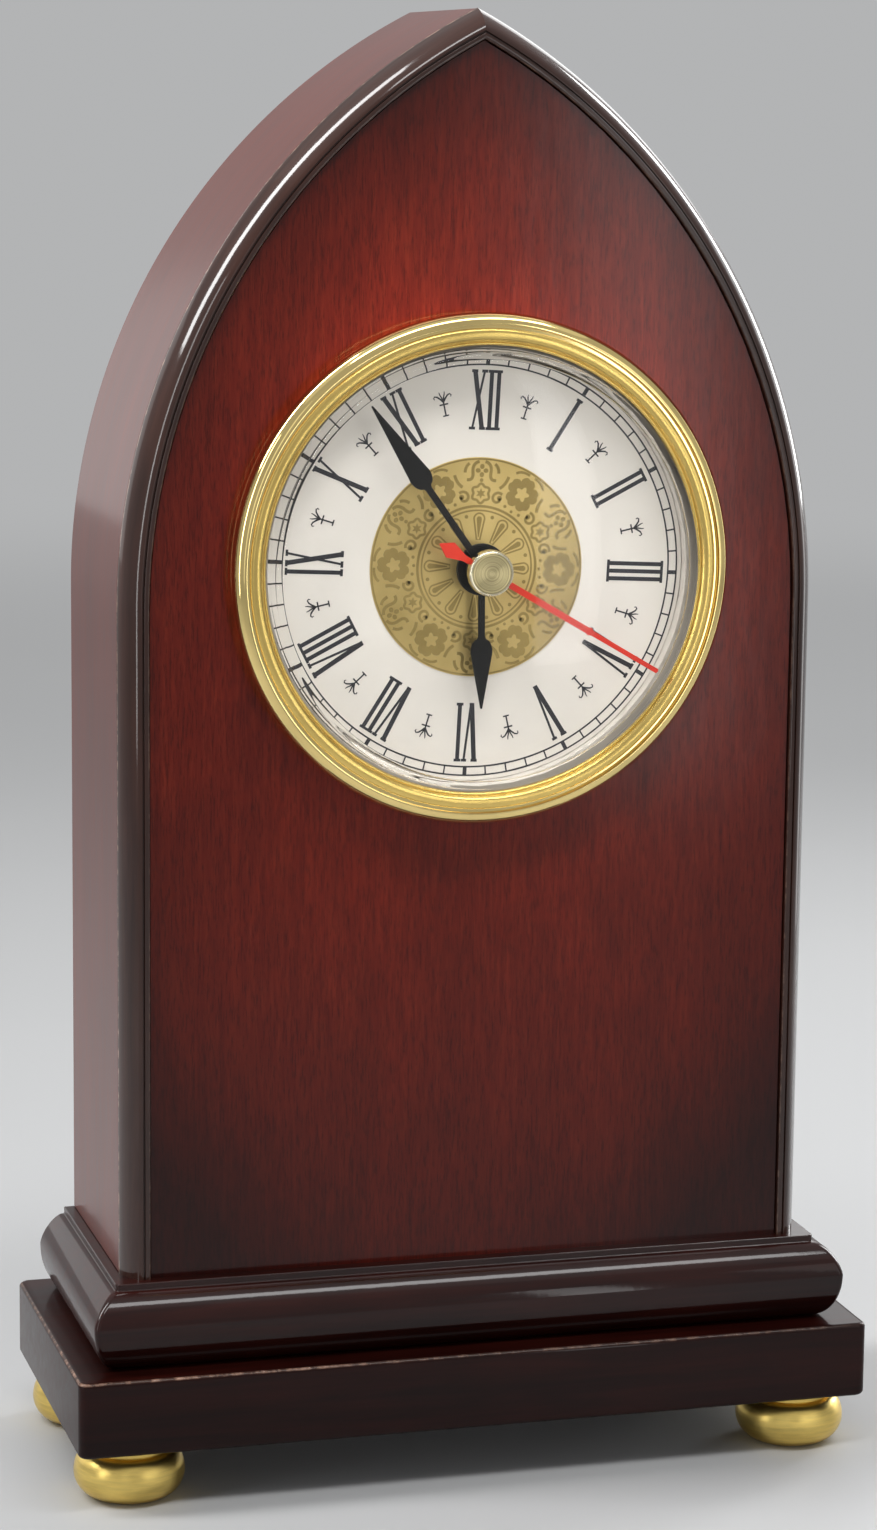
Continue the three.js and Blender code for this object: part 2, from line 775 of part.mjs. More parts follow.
// Hands: flat shapes that point to twelve, each turned to the time shown
const centre = [0, 0];
function handPlate(shape, height, thickness) {
  return plate(shape, -height - thickness, -height, handSteps);
}
function handRod(radius, from, to, sides = hubSides) {
  return rod(centre, radius, -to, -from, sides);
}
function spadeShape(tip, base) {
  const shape = new THREE.Shape();
  shape.moveTo(-stemWidth / 2, 0);
  shape.lineTo(stemWidth / 2, 0);
  shape.lineTo(stemWidth / 2, base);
  shape.quadraticCurveTo(spadeWidth / 2, base, spadeWidth / 2, base + spadeShoulder);
  shape.lineTo(handPointWidth / 2, tip);
  shape.lineTo(-handPointWidth / 2, tip);
  shape.lineTo(-spadeWidth / 2, base + spadeShoulder);
  shape.quadraticCurveTo(-spadeWidth / 2, base, -stemWidth / 2, base);
  return shape;
}
const hourTip = dialRadius - hourTipGap;
const hourHubTop = hourHeight + (handThickness + hourHubThickness) / 2;
const hourBody = joined([
  handPlate(spadeShape(hourTip, hourTip - hourSpadeLength), hourHeight, handThickness),
  handRod(hourHub, hourHubTop - hourHubThickness, hourHubTop),
  handRod(hourPipeRadius + 2 * turnGap, hourHeight - hourHubThickness, hourHeight),
]);
const hourBore = handRod(hourPipeRadius + pressGap, 0, capTop);
const hourAngle = (shownHours + shownMinutes / 60) * 30;
addPiece(handsGroup, "hour_hand", cut(hourBody, [hourBore]), look.black, [0, 0, 0], hourAngle);
const minuteTip = dialRadius - minuteTipGap;
const minuteHubTop = minuteHeight + (handThickness + minuteHubThickness) / 2;
const minuteBody = joined([
  handPlate(spadeShape(minuteTip, minuteTip - minuteSpadeLength), minuteHeight, handThickness),
  handRod(minuteHub, minuteHubTop - minuteHubThickness, minuteHubTop),
]);
const minuteBore = handRod(minutePipeRadius + pressGap, 0, capTop);
const minuteAngle = shownMinutes * 6;
addPiece(handsGroup, "minute_hand", cut(minuteBody, [minuteBore]), look.black, [0, 0, 0], minuteAngle);
const secondTip = dialRadius - secondTipGap;
const secondStep = secondTip - secondPointLength;
const secondRight = [
  [handPointWidth / 2, -secondTail],
  [secondTailWidth / 2, -secondTailWidest],
  [secondWidth / 2, -secondTailNeck],
  [secondWidth / 2, secondStep],
  [secondPointWidth / 2, secondStep + secondWidth / 2],
  [secondPointWidth / 2, secondTip],
];
const secondLeft = secondRight.map(([x, z]) => [-x, z]).reverse();
const secondBody = joined([
  handPlate(polygon([...secondRight, ...secondLeft]), secondHeight, secondThickness),
  handRod(secondHub, secondHeight, secondHeight + secondThickness),
]);
const secondBore = handRod(secondsArborRadius + pressGap, 0, capTop, boreSides);
const secondAngle = shownSeconds * 6;
addPiece(handsGroup, "second_hand", cut(secondBody, [secondBore]), look.red, [0, 0, 0], secondAngle);
const capBottom = secondHeight + secondThickness;
const capBore = secondsArborRadius + pressGap;
const arborTop = (capBottom + capTop) / 2;
const capProfile = [
  [0, arborTop + runGap],
  [capBore, arborTop + runGap],
  [capBore, capBottom],
  [capRadius - capBevel, capBottom],
  [capRadius, capBottom + capBevel],
  [capRadius, capTop - 2 * capBevel],
  [capRadius - capBevel, capTop - capBevel],
  [capRadius - capBevel, capTop],
  [0, capTop],
];
addPiece(handsGroup, "hub_cap", turnedInsert(capProfile, capSides), look.brass, [0, 0, 0], secondAngle);

// Axes of the train round the dial axis
function polar(distance, degrees) {
  const angle = THREE.MathUtils.degToRad(degrees);
  return [distance * Math.cos(angle), distance * Math.sin(angle)];
}
const thirdDistance = ((secondsLeaves + thirdTeeth) / 2) * thirdModule;
const centreModule = thirdDistance / ((thirdLeaves + centreTeeth) / 2);
const third = polar(thirdDistance, thirdDirection);
const intermediate = polar(((intermediateLeaves + secondsTeeth) / 2) * secondsModule, intermediateDirection);
const rotorOffset = polar(((rotorLeaves + intermediateTeeth) / 2) * intermediateModule, rotorDirection);
const rotor = [intermediate[0] + rotorOffset[0], intermediate[1] + rotorOffset[1]];
const minute = polar(((cannonLeaves + minuteTeeth) / 2) * motionModule, minuteDirection);
function addTurning(name, body, finish, axis) {
  addPiece(movementGroup, name, body, finish, [axis[0], 0, axis[1]]);
}

// Teeth as heights and half widths in modules, from one root round the tip to the other root
const wheelTooth = [
  [-1.25, -0.72],
  [0.9, -0.24],
  [0.9, 0.24],
  [-1.25, 0.72],
];
const pinionLeaf = [
  [-1.3, -0.42],
  [0.3, -0.45],
  [0.8, 0],
  [0.3, 0.45],
  [-1.3, 0.42],
];
function toothed(teeth, module, form, phase, depth, thickness) {
  const corners = [];
  for (let tooth = 0; tooth < teeth; tooth += 1) {
    for (const [height, halfWidth] of form) {
      const radius = module * (teeth / 2 + height);
      const angle = phase + (tooth * 2 * Math.PI) / teeth + (halfWidth * module) / radius;
      corners.push([radius * Math.cos(angle), radius * Math.sin(angle)]);
    }
  }
  return plate(polygon(corners), depth, depth + thickness);
}
// A pinion turns a leaf towards its wheel, and the wheel turns a space towards its pinion
function pinionOf(axis, wheelAxis, leaves, module, wheelDepth) {
  const phase = Math.atan2(wheelAxis[1] - axis[1], wheelAxis[0] - axis[0]);
  const depth = wheelDepth - (pinionLength - wheelThickness) / 2;
  return toothed(leaves, module, pinionLeaf, phase, depth, pinionLength);
}
function wheelOf(axis, pinionAxis, teeth, module, depth) {
  const phase = Math.atan2(pinionAxis[1] - axis[1], pinionAxis[0] - axis[0]) + Math.PI / teeth;
  return toothed(teeth, module, wheelTooth, phase, depth, wheelThickness);
}

// Seconds wheel with its pinion and the arbor that carries the second hand
const pipeFront = (height) => -dialDepth - height;
const secondsRear = intermediateWheelDepth + wheelThickness + pinionLength;
const secondsWheel = joined([
  wheelOf(centre, intermediate, secondsTeeth, secondsModule, secondsWheelDepth),
  pinionOf(centre, third, secondsLeaves, thirdModule, thirdWheelDepth),
  rod(centre, secondsArborRadius, pipeFront(arborTop), secondsRear, boreSides),
]);
addTurning("seconds_wheel", secondsWheel, look.ivory, centre);

// Third, intermediate and rotor
const rearWall = movementDepth - shellWall;
const pivotEnd = rearWall + shellWall / 2;
const thirdWheel = joined([
  wheelOf(third, centre, thirdTeeth, thirdModule, thirdWheelDepth),
  pinionOf(third, centre, thirdLeaves, centreModule, centreWheelDepth),
  rod(centre, trainArborRadius, trainPlateDepth - runGap, thirdWheelDepth + wheelThickness, arborSides),
]);
addTurning("third_wheel", thirdWheel, look.ivory, third);
const intermediateWheel = joined([
  wheelOf(intermediate, rotor, intermediateTeeth, intermediateModule, intermediateWheelDepth),
  pinionOf(intermediate, centre, intermediateLeaves, secondsModule, secondsWheelDepth),
  rod(centre, trainArborRadius, secondsWheelDepth, rearWall - runGap, arborSides),
]);
addTurning("intermediate_wheel", intermediateWheel, look.ivory, intermediate);
const rotorDepth = statorDepth + (statorThickness - rotorLength) / 2;
const rotorBody = joined([
  pinionOf(rotor, intermediate, rotorLeaves, intermediateModule, intermediateWheelDepth),
  rod(centre, rotorRadius, rotorDepth + runGap, rotorDepth + rotorLength, hubSides),
  rod(centre, secondsArborRadius, intermediateWheelDepth, pivotEnd, arborSides),
]);
addTurning("rotor", rotorBody, look.steel, rotor);

// Centre wheel, which the cannon pinion grips by friction
const pipeBore = rod(centre, minutePipeBore, pipeFront(capTop), movementDepth, boreSides);
const centreWheel = wheelOf(centre, third, centreTeeth, centreModule, centreWheelDepth);
addTurning("centre_wheel", cut(centreWheel, [pipeBore]), look.brass, centre);
const cannonPinion = joined([
  pinionOf(centre, minute, cannonLeaves, motionModule, minuteWheelDepth),
  rod(centre, minutePipeRadius, pipeFront(minuteHubTop), centreWheelDepth - runGap, hubSides),
]);
addTurning("cannon_pinion", cut(cannonPinion, [pipeBore]), look.brass, centre);

// Minute wheel on the setting arbor, the hour wheel with its pipe, and the set knob
const knobDepth = movementDepth + knobGap;
const minuteArborEnd = knobDepth + knobLength / 2;
const minuteWheel = joined([
  wheelOf(minute, centre, minuteTeeth, motionModule, minuteWheelDepth),
  pinionOf(minute, centre, minuteLeaves, motionModule, hourWheelDepth),
  rod(centre, minuteArborRadius, shellWall / 2 + runGap, minuteArborEnd, boreSides),
]);
addTurning("minute_wheel", minuteWheel, look.ivory, minute);
const hourWheel = joined([
  wheelOf(centre, minute, hourTeeth, motionModule, hourWheelDepth),
  rod(centre, hourPipeRadius, pipeFront(hourHubTop), hourWheelDepth + wheelThickness, capSides),
]);
const hourPipeHole = rod(centre, hourPipeBore, pipeFront(capTop), movementDepth, hubSides);
addTurning("hour_wheel", cut(hourWheel, [hourPipeHole]), look.ivory, centre);
const knobCorners = Array.from({ length: 2 * knobFlutes }, (_, i) =>
  polar(knobRadius - (i % 2) * knobFluteDepth, (i * 180) / knobFlutes),
);
const knobBody = plate(polygon(knobCorners), knobDepth, knobDepth + knobLength);
const knobBore = rod(centre, minuteArborRadius + pressGap, 0, minuteArborEnd + runGap, boreSides);
addTurning("set_knob", cut(knobBody, [knobBore]), look.ivory, minute);

// Washers behind the dial and behind the minute wheel
function washer(inner, outer, depth) {
  const profile = closedProfile([
    [inner, depth],
    [outer, depth],
    [outer, depth + washerThickness],
    [inner, depth + washerThickness],
  ]);
  return turned(profile, washerSides);
}
const minuteHole = minuteArborRadius + runGap;
const minuteWasherDepth = trainPlateDepth - runGap - washerThickness;
addTurning("dial_washer", washer(centreHole, dialWasherRadius, shellWall + runGap), look.brass, centre);
addTurning("minute_washer", washer(minuteHole, minuteWasherRadius, minuteWasherDepth), look.brass, minute);

// Movement shells, open at the back over the cell
const shellOutline = roundedShape(-half, -half, half, half, movementCorner);
const chamberCorner = movementCorner - shellWall;
const chamberShape = roundedShape(-chamberHalf, chamberBottom, chamberHalf, chamberHalf, chamberCorner);
const bayShape = roundedShape(-bayHalf, -bayHalf, bayHalf, bayTop, bayWall);
const bayCut = plate(bayShape, bayFloor, movementDepth + runGap);
const movementHoles = screwHoles(-screwGap, movementDepth + screwGap);
const frontChamber = plate(chamberShape, shellWall, shellJoint + runGap);
const frontBosses = screwPlaces.map((place) =>
  rod(place, screwBossRadius, shellWall / 2, trainPlateDepth, screwSides),
);
const frontShell = cut(joined([cut(plate(shellOutline, 0, shellJoint), [frontChamber]), ...frontBosses]), [
  bayCut,
  ...movementHoles,
  rod(centre, centreHole, -runGap, shellWall + runGap, capSides),
  rod(minute, minuteHole, shellWall / 2, 2 * shellWall, boreSides),
]);
addPiece(movementGroup, "movement_front_shell", frontShell, look.black);
const trainPlateShape = roundedShape(
  turnGap - chamberHalf,
  chamberBottom + turnGap,
  chamberHalf - turnGap,
  chamberHalf - turnGap,
  chamberCorner,
);
const trainPlateEnd = trainPlateDepth + trainPlateThickness;
const trainPlateCuts = [
  ...movementHoles,
  rod(centre, minutePipeRadius + turnGap, 0, movementDepth, hubSides),
  rod(minute, minuteHole, 0, movementDepth, boreSides),
  rod(third, trainArborRadius + runGap, 0, movementDepth, arborSides),
];
const trainPlate = cut(plate(trainPlateShape, trainPlateDepth, trainPlateEnd), trainPlateCuts);
addPiece(movementGroup, "train_plate", trainPlate, look.brass);
const bossRadius = trainArborRadius + runGap + bearingBossWall;
const secondsBossFront = secondsWheelDepth + wheelThickness + 2 * runGap;
const intermediateBossFront = intermediateWheelDepth + wheelThickness + 2 * runGap;
const rearChamber = plate(chamberShape, shellJoint - runGap, rearWall);
const rearBosses = [
  ...screwPlaces.map((place) => rod(place, screwBossRadius, trainPlateEnd, pivotEnd, screwSides)),
  rod(centre, bossRadius, secondsBossFront, pivotEnd, screwSides),
  rod(intermediate, bossRadius, intermediateBossFront, pivotEnd, screwSides),
];
const rearBlock = cut(plate(shellOutline, shellJoint, movementDepth), [rearChamber]);
const rearShell = cut(joined([rearBlock, ...rearBosses]), [
  bayCut,
  ...movementHoles,
  rod(centre, secondsArborRadius + runGap, 0, secondsRear + runGap, arborSides),
  rod(intermediate, trainArborRadius + runGap, 0, rearWall, arborSides),
  rod(rotor, secondsArborRadius + runGap, 0, pivotEnd + runGap, arborSides),
  rod(minute, minuteHole, 0, movementDepth + runGap, boreSides),
]);
addPiece(movementGroup, "movement_rear_shell", rearShell, look.black);
const screwLength = movementDepth + carrierFloor;
screwPlaces.forEach(([x, z], i) => {
  const profile = [
    [0, -screwLength],
    [screwRadius, screwRadius - screwLength],
    [screwRadius, 0],
    [screwHead, 0],
    [screwHead, screwHeadHeight],
    [0, screwHeadHeight],
  ];
  const slot = new THREE.BoxGeometry(3 * screwHead, slotDepth, slotWidth).translate(0, screwHeadHeight, 0);
  const screw = cut(turned(profile, screwSides), [solid(slot)]);
  addPiece(movementGroup, "movement_screw_" + (i + 1), screw, look.steel, [x, movementDepth, z]);
});

// Stator frame round the rotor, with the coil on its upper bar
const statorHole = rotorRadius + rotorGap;
const statorLeft = rotor[0] - statorHole - statorMargin;
const statorBottom = rotor[1] - statorHole - statorMargin;
const statorShoulder = rotor[1] + statorHole + statorMargin;
const statorRight = statorLeft + coilLength + 2 * (statorCoreWidth + turnGap);
const statorTop = statorShoulder + statorWindow;
const statorShape = polygon([
  [statorLeft, statorBottom],
  [statorRight, statorBottom],
  [statorRight, statorTop],
  [statorLeft, statorTop],
]);
const windowCorners = [
  [statorLeft + statorCoreWidth, statorShoulder],
  [statorLeft + statorCoreWidth, statorTop - statorCoreWidth],
  [statorRight - statorCoreWidth, statorTop - statorCoreWidth],
  [statorRight - statorCoreWidth, statorShoulder],
];
statorShape.holes.push(new THREE.Path(windowCorners.map(([x, z]) => new THREE.Vector2(x, z))));
const statorCuts = [
  rod(rotor, statorHole, 0, movementDepth, capSides),
  rod(intermediate, bossRadius + turnGap, 0, movementDepth, boreSides),
];
const statorBody = plate(statorShape, statorDepth, statorDepth + statorThickness);
addPiece(movementGroup, "stator", cut(statorBody, statorCuts), look.steel);
const coilBore = Math.hypot(statorCoreWidth, statorThickness) / 2 + runGap;
const coilWaist = coilRadius - coilFlange / 2;
const coilProfile = closedProfile([
  [coilBore, 0],
  [coilRadius, 0],
  [coilRadius, coilFlange],
  [coilWaist, coilFlange],
  [coilWaist, coilLength - coilFlange],
  [coilRadius, coilLength - coilFlange],
  [coilRadius, coilLength],
  [coilBore, coilLength],
]);
const coilPlace = [
  statorLeft + statorCoreWidth + turnGap,
  statorDepth + statorThickness / 2,
  statorTop - statorCoreWidth / 2,
];
addPiece(movementGroup, "coil", turnedAcross(coilProfile, coilSides), look.copper, coilPlace);
const boardRight = statorLeft - boardGap;
const boardTop = chamberHalf - turnGap;
const boardOutline = roundedShape(boardRight - boardWidth, boardTop - boardHeight, boardRight, boardTop, turnGap);
addPiece(movementGroup, "circuit_board", plate(boardOutline, rearWall - boardThickness, rearWall), look.green);

// Cell with its plus end to the right, between a flat contact and a sprung one
const plusFace = bayHalf - contactThickness;
const minusFace = contactThickness - bayHalf;
const leafTip = minusFace + contactReach;
const cellEnd = plusFace - turnGap;
const cellStart = leafTip + glueGap;
const cellLength = cellEnd - cellStart;
const cellShoulder = cellLength - cellNubLength;
const cellDepth = bayFloor + turnGap + cellRadius;
const cellProfile = [
  [0, 0],
  [cellRadius - cellEdge, 0],
  [cellRadius, cellEdge],
  [cellRadius, cellShoulder - cellEdge],
  [cellRadius - cellEdge, cellShoulder],
  [cellNubRadius, cellShoulder],
  [cellNubRadius, cellLength],
  [0, cellLength],
];
const cellPlace = [cellStart, cellDepth, cellHeight];
addPiece(movementGroup, "battery", turnedAcross(cellProfile, cellSides), look.cell, cellPlace);
const contactPlace = [0, cellDepth - contactWidth / 2, cellHeight - contactWidth / 2];
function addContact(name, points) {
  const strip = new THREE.ExtrudeGeometry(polygon(points), { depth: contactWidth, bevelEnabled: false });
  addPiece(movementGroup, name, solid(strip), look.steel, contactPlace);
}
addContact("contact_positive", [
  [plusFace, 0],
  [bayHalf, 0],
  [bayHalf, contactWidth],
  [plusFace, contactWidth],
]);
const leafBend = contactWidth / 4;
addContact("contact_negative", [
  [-bayHalf, 0],
  [minusFace, 0],
  [leafTip, leafBend],
  [leafTip, contactWidth],
  [leafTip - contactThickness, contactWidth],
  [leafTip - contactThickness, leafBend],
  [minusFace, 2 * contactThickness],
  [minusFace, contactWidth],
  [-bayHalf, contactWidth],
]);

export default clock;
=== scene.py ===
import json
from math import acos, cos, dist, exp, hypot, pi, radians, sin

import bmesh
import bpy
from mathutils import Matrix, Vector


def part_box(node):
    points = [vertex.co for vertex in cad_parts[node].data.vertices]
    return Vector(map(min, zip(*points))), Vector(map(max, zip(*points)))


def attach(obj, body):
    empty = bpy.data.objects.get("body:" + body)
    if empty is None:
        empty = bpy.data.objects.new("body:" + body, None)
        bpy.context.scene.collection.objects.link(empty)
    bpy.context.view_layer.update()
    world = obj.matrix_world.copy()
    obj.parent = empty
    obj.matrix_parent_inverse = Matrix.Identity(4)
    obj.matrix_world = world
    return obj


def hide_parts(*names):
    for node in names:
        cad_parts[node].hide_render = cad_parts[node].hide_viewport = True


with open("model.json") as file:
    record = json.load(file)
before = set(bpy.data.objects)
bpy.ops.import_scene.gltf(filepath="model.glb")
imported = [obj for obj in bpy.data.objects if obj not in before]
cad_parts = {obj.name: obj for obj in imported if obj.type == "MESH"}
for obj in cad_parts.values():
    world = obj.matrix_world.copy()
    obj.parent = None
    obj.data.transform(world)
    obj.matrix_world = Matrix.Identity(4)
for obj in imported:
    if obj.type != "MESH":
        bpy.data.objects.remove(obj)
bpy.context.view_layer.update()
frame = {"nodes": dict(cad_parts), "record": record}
nodes = frame["nodes"]

# Sizes of the clock in millimetres, as in the CAD source
MM = 0.001
CASE_WIDTH = 128.0
ARCH_RADIUS = 117.0
SPRING_Z = 158.7
FRONT_Y = -21.3
BOARD_Y = -16.7
REBATE_Y = 21.7
BACK_Y = 27.2
SIDE_THICKNESS = 10.0
BACK_LIP = 4.0
MOULDING_WIDTH = 4.8
MOULDING_RISE = 0.9
SLAB_BOTTOM = 10.5
SLAB_TOP = 24.5
SLAB_HALF = (74.0, 32.0)
SLAB_ARRIS = 0.9
SLAB_CORNER = 1.8
PLINTH_TOP = 39.7
PLINTH_HALF = 70.5
PLINTH_FRONT = -28.5
FOOT_X = 63.0
FOOT_Y = 21.0
DIAL_Z = 165.7
DIAL_Y = -20.2
DIAL_RADIUS = 38.4
FOIL_RADIUS = 19.5
FOIL_THICKNESS = 0.15
FOIL_Y = DIAL_Y - FOIL_THICKNESS

# Turns of the dial and the hands in degrees, clockwise from twelve
INSERT_TURN = 2.7
HOUR_ANGLE = 179.515
MINUTE_ANGLE = 324.48
SECOND_ANGLE = 120.3


class Graph:
    """Short calls for the nodes of a shader tree."""

    def __init__(self, tree):
        self.tree = tree

    def link(self, source, target):
        self.tree.links.new(source, target)

    def put(self, socket, value):
        """A number, a colour or the output of another node, into a socket."""
        if isinstance(value, (int, float)):
            socket.default_value = value
        elif isinstance(value, tuple):
            socket.default_value = (*value, 1.0)
        else:
            self.link(value, socket)

    def node(self, kind, inputs=None, **settings):
        made = self.tree.nodes.new("ShaderNode" + kind)
        for key, value in settings.items():
            setattr(made, key, value)
        for key, value in (inputs or {}).items():
            self.put(made.inputs[key], value)
        return made

    def maths(self, operation, *values):
        return self.node("Math", dict(enumerate(values)), operation=operation).outputs[0]

    def mix(self, factor, first, second, blend="MIX"):
        values = {0: factor, 6: first, 7: second}
        return self.node("Mix", values, data_type="RGBA", blend_type=blend).outputs[2]

    def seen(self):
        """One for the camera, a reflection or a view through glass, and nought for light that falls."""
        rays = self.node("LightPath").outputs
        direct = self.maths("MAXIMUM", rays["Is Camera Ray"], rays["Is Glossy Ray"])
        return self.maths("MAXIMUM", direct, rays["Is Transmission Ray"])


# Materials, kept by name
FINISHES = {}


class Finish(Graph):
    """A material with one Principled shader, and calls for what feeds it."""

    def __init__(self, name, **values):
        self.material = bpy.data.materials.new(name)
        self.material.use_nodes = True
        super().__init__(self.material.node_tree)
        self.shader = self.tree.nodes["Principled BSDF"]
        for key, value in values.items():
            self.feed(key.replace("_", " "), value)
        FINISHES[name] = self.material

    def feed(self, socket, source):
        self.put(self.shader.inputs[socket], source)

    def paint(self, source):
        self.feed("Base Color", source)

    def spot(self):
        return self.node("TexCoord").outputs["Object"]

    def axes(self):
        return self.node("SeparateXYZ", {"Vector": self.spot()}).outputs

    def stored(self, name):
        """A value that the mesh keeps for each of its points."""
        return self.node("Attribute", attribute_name=name).outputs["Fac"]

    def bent(self):
        """Depth and the stored run along a bent piece, in place of plain coordinates."""
        made = self.node("CombineXYZ", {"Y": self.axes()["Y"], "Z": self.stored("along")})
        return made.outputs["Vector"]

    def place(self, scale, offset=(0, 0, 0), source=None):
        mapping = self.node("Mapping")
        mapping.inputs["Scale"].default_value = scale if isinstance(scale, tuple) else (scale,) * 3
        mapping.inputs["Location"].default_value = offset
        self.link(source or self.spot(), mapping.inputs["Vector"])
        return mapping.outputs["Vector"]

    def noise(self, scale, detail=3.0, roughness=0.55, distortion=0.0, offset=(0, 0, 0), source=None):
        values = {"Scale": 1.0, "Detail": detail, "Roughness": roughness, "Distortion": distortion}
        made = self.node("TexNoise", values)
        self.link(self.place(scale, offset, source), made.inputs["Vector"])
        return made.outputs["Fac"]

    def ramp(self, value, *stops):
        made = self.node("ValToRGB", {"Fac": value})
        elements = made.color_ramp.elements
        while len(elements) < len(stops):
            elements.new(0.5)
        for element, (position, colour) in zip(elements, stops):
            element.position = position
            element.color = (*colour, 1.0) if isinstance(colour, tuple) else (colour, colour, colour, 1.0)
        return made.outputs["Color"]

    def squares(self, first, second):
        return self.maths("ADD", self.maths("POWER", first, 2.0), self.maths("POWER", second, 2.0))

    def blend(self, factor, other):
        """The surface turns from the Principled shader to another as the factor goes from nought to one."""
        made = self.node("MixShader", {0: factor, 1: self.shader.outputs[0], 2: other})
        self.link(made.outputs[0], self.tree.nodes["Material Output"].inputs["Surface"])

    def bump(self, height, strength, distance, onto="Normal"):
        made = self.node("Bump", {"Strength": strength, "Distance": distance, "Height": height})
        self.feed(onto, made.outputs["Normal"])

    def rough(self, value, low, high):
        made = self.node("MapRange", {"To Min": low, "To Max": high, "Value": value})
        self.feed("Roughness", made.outputs["Result"])


# Toned burst on the panel, partly painted light that is brightest near the top of the dial and darker towards
# the edges: half width, middle, reach above and below in metres, then its end and drift as shares
TONE_AND_LIGHT_HALF = 0.062
TONE_AND_LIGHT_Z = 0.195
TONE_AND_LIGHT_ABOVE = 0.055
TONE_AND_LIGHT_BELOW = 0.112
TONE_AND_LIGHT_END = 2.4
TONE_AND_LIGHT_DRIFT = 0.5

# Width of the painted shade inside the edge of the arch, the rise over which it comes in, and its drift, in
# metres
PAINTED_SHADE_WIDTH = 0.03
PAINTED_SHADE_RISE = 0.06
PAINTED_SHADE_DRIFT = 0.012


def panel_finish():
    """Mahogany veneer with upright grain and short pores under lacquer, with a toned burst that is partly
    painted light, brighter near the top of the dial and darker towards the edges, and painted shade inside
    the edge of the arch.
    """
    made = Finish("panel_veneer", Coat_Weight=0.7, Coat_Roughness=0.16, Coat_IOR=1.4, Specular_IOR_Level=0.05)
    grain = made.noise((1300, 1300, 110), 5.0, 0.6, 0.3)
    figure = made.noise((70, 70, 22), 3.0, 0.55, 0.6, (3, 1, 0))
    pores = made.noise((3400, 3400, 380), 3.0, 0.6, 0.0, (0, 5, 2))
    wood = made.ramp(
        grain,
        (0.25, (0.275, 0.0185, 0.0085)),
        (0.5, (0.370, 0.0290, 0.0120)),
        (0.75, (0.480, 0.0460, 0.0180)),
    )
    wood = made.mix(1.0, wood, made.ramp(figure, (0.3, 0.78), (0.7, 1.14)), "MULTIPLY")
    wood = made.mix(0.65, wood, made.ramp(pores, (0.32, 0.35), (0.52, 1.0)), "MULTIPLY")
    axes = made.axes()
    aside = made.maths("ABSOLUTE", axes["X"])
    drift = made.maths("SUBTRACT", made.noise((28, 28, 12), 2.0, 0.5, 0.0, (7, 2, 4)), 0.5)

    # Toned burst, partly painted light: the colour is lifted near the top of the dial and falls away towards
    # the edges.
    rise = made.maths("SUBTRACT", axes["Z"], TONE_AND_LIGHT_Z)
    above = made.maths("DIVIDE", rise, TONE_AND_LIGHT_ABOVE)
    below = made.maths("DIVIDE", rise, -TONE_AND_LIGHT_BELOW)
    reach = made.squares(made.maths("DIVIDE", aside, TONE_AND_LIGHT_HALF), made.maths("MAXIMUM", above, below))
    reach = made.maths("ADD", reach, made.maths("MULTIPLY", drift, TONE_AND_LIGHT_DRIFT))
    reach = made.maths("DIVIDE", reach, TONE_AND_LIGHT_END)
    tone_and_painted_light = made.ramp(reach, (0.05, 1.42), (0.16, 0.87), (0.34, 0.59), (0.65, 0.42), (0.98, 0.1))
    wood = made.mix(1.0, wood, tone_and_painted_light, "MULTIPLY")

    # Painted shade: the veneer darkens inwards from the edge of the arch, in full well above the spring and a
    # quarter as much below it.
    up = made.maths("MAXIMUM", made.maths("SUBTRACT", axes["Z"], SPRING_Z * MM), 0.0)
    across = made.maths("ADD", aside, (ARCH_RADIUS - CASE_WIDTH / 2) * MM)
    inside = made.maths("SUBTRACT", ARCH_RADIUS * MM, made.maths("SQRT", made.squares(across, up)))
    inside = made.maths("ADD", inside, made.maths("MULTIPLY", drift, PAINTED_SHADE_DRIFT))
    painted_shade = made.ramp(made.maths("DIVIDE", inside, PAINTED_SHADE_WIDTH), (0.12, 0.42), (0.45, 0.75), (0.85, 1.0))
    share = made.ramp(made.maths("DIVIDE", up, PAINTED_SHADE_RISE), (0.0, 0.25), (1.0, 1.0))
    made.paint(made.mix(share, wood, painted_shade, "MULTIPLY"))
    made.rough(grain, 0.32, 0.46)
    made.bump(pores, 0.10, 0.0002)
    made.bump(made.noise((240, 240, 110), 2.0, 0.5), 0.05, 0.0004, "Coat Normal")


def side_finish():
    """The same timber stained even, with its grain almost lost under the lacquer."""
    made = Finish("side_wood", Coat_Weight=0.5, Coat_Roughness=0.13, Coat_IOR=1.45, Specular_IOR_Level=0.05)
    grain = made.noise((1, 900, 55), 5.0, 0.6, 0.3, source=made.bent())
    cloud = made.noise((1, 60, 16), 2.0, 0.5, source=made.bent())
    wood = made.ramp(grain, (0.25, (0.092, 0.0145, 0.0085)), (0.75, (0.172, 0.0300, 0.0175)))
    wood = made.mix(1.0, wood, made.ramp(cloud, (0.3, 0.8), (0.7, 1.1)), "MULTIPLY")
    made.paint(wood)
    made.rough(grain, 0.30, 0.42)
    made.bump(made.noise((1, 260, 120), 2.0, 0.5, source=made.bent()), 0.05, 0.0004, "Coat Normal")
    return made.material


# Colour of the paler arrises: partly bare wood where worn, partly a painted highlight.
WEAR_AND_HIGHLIGHT_COLOUR = (0.40, 0.23, 0.16)


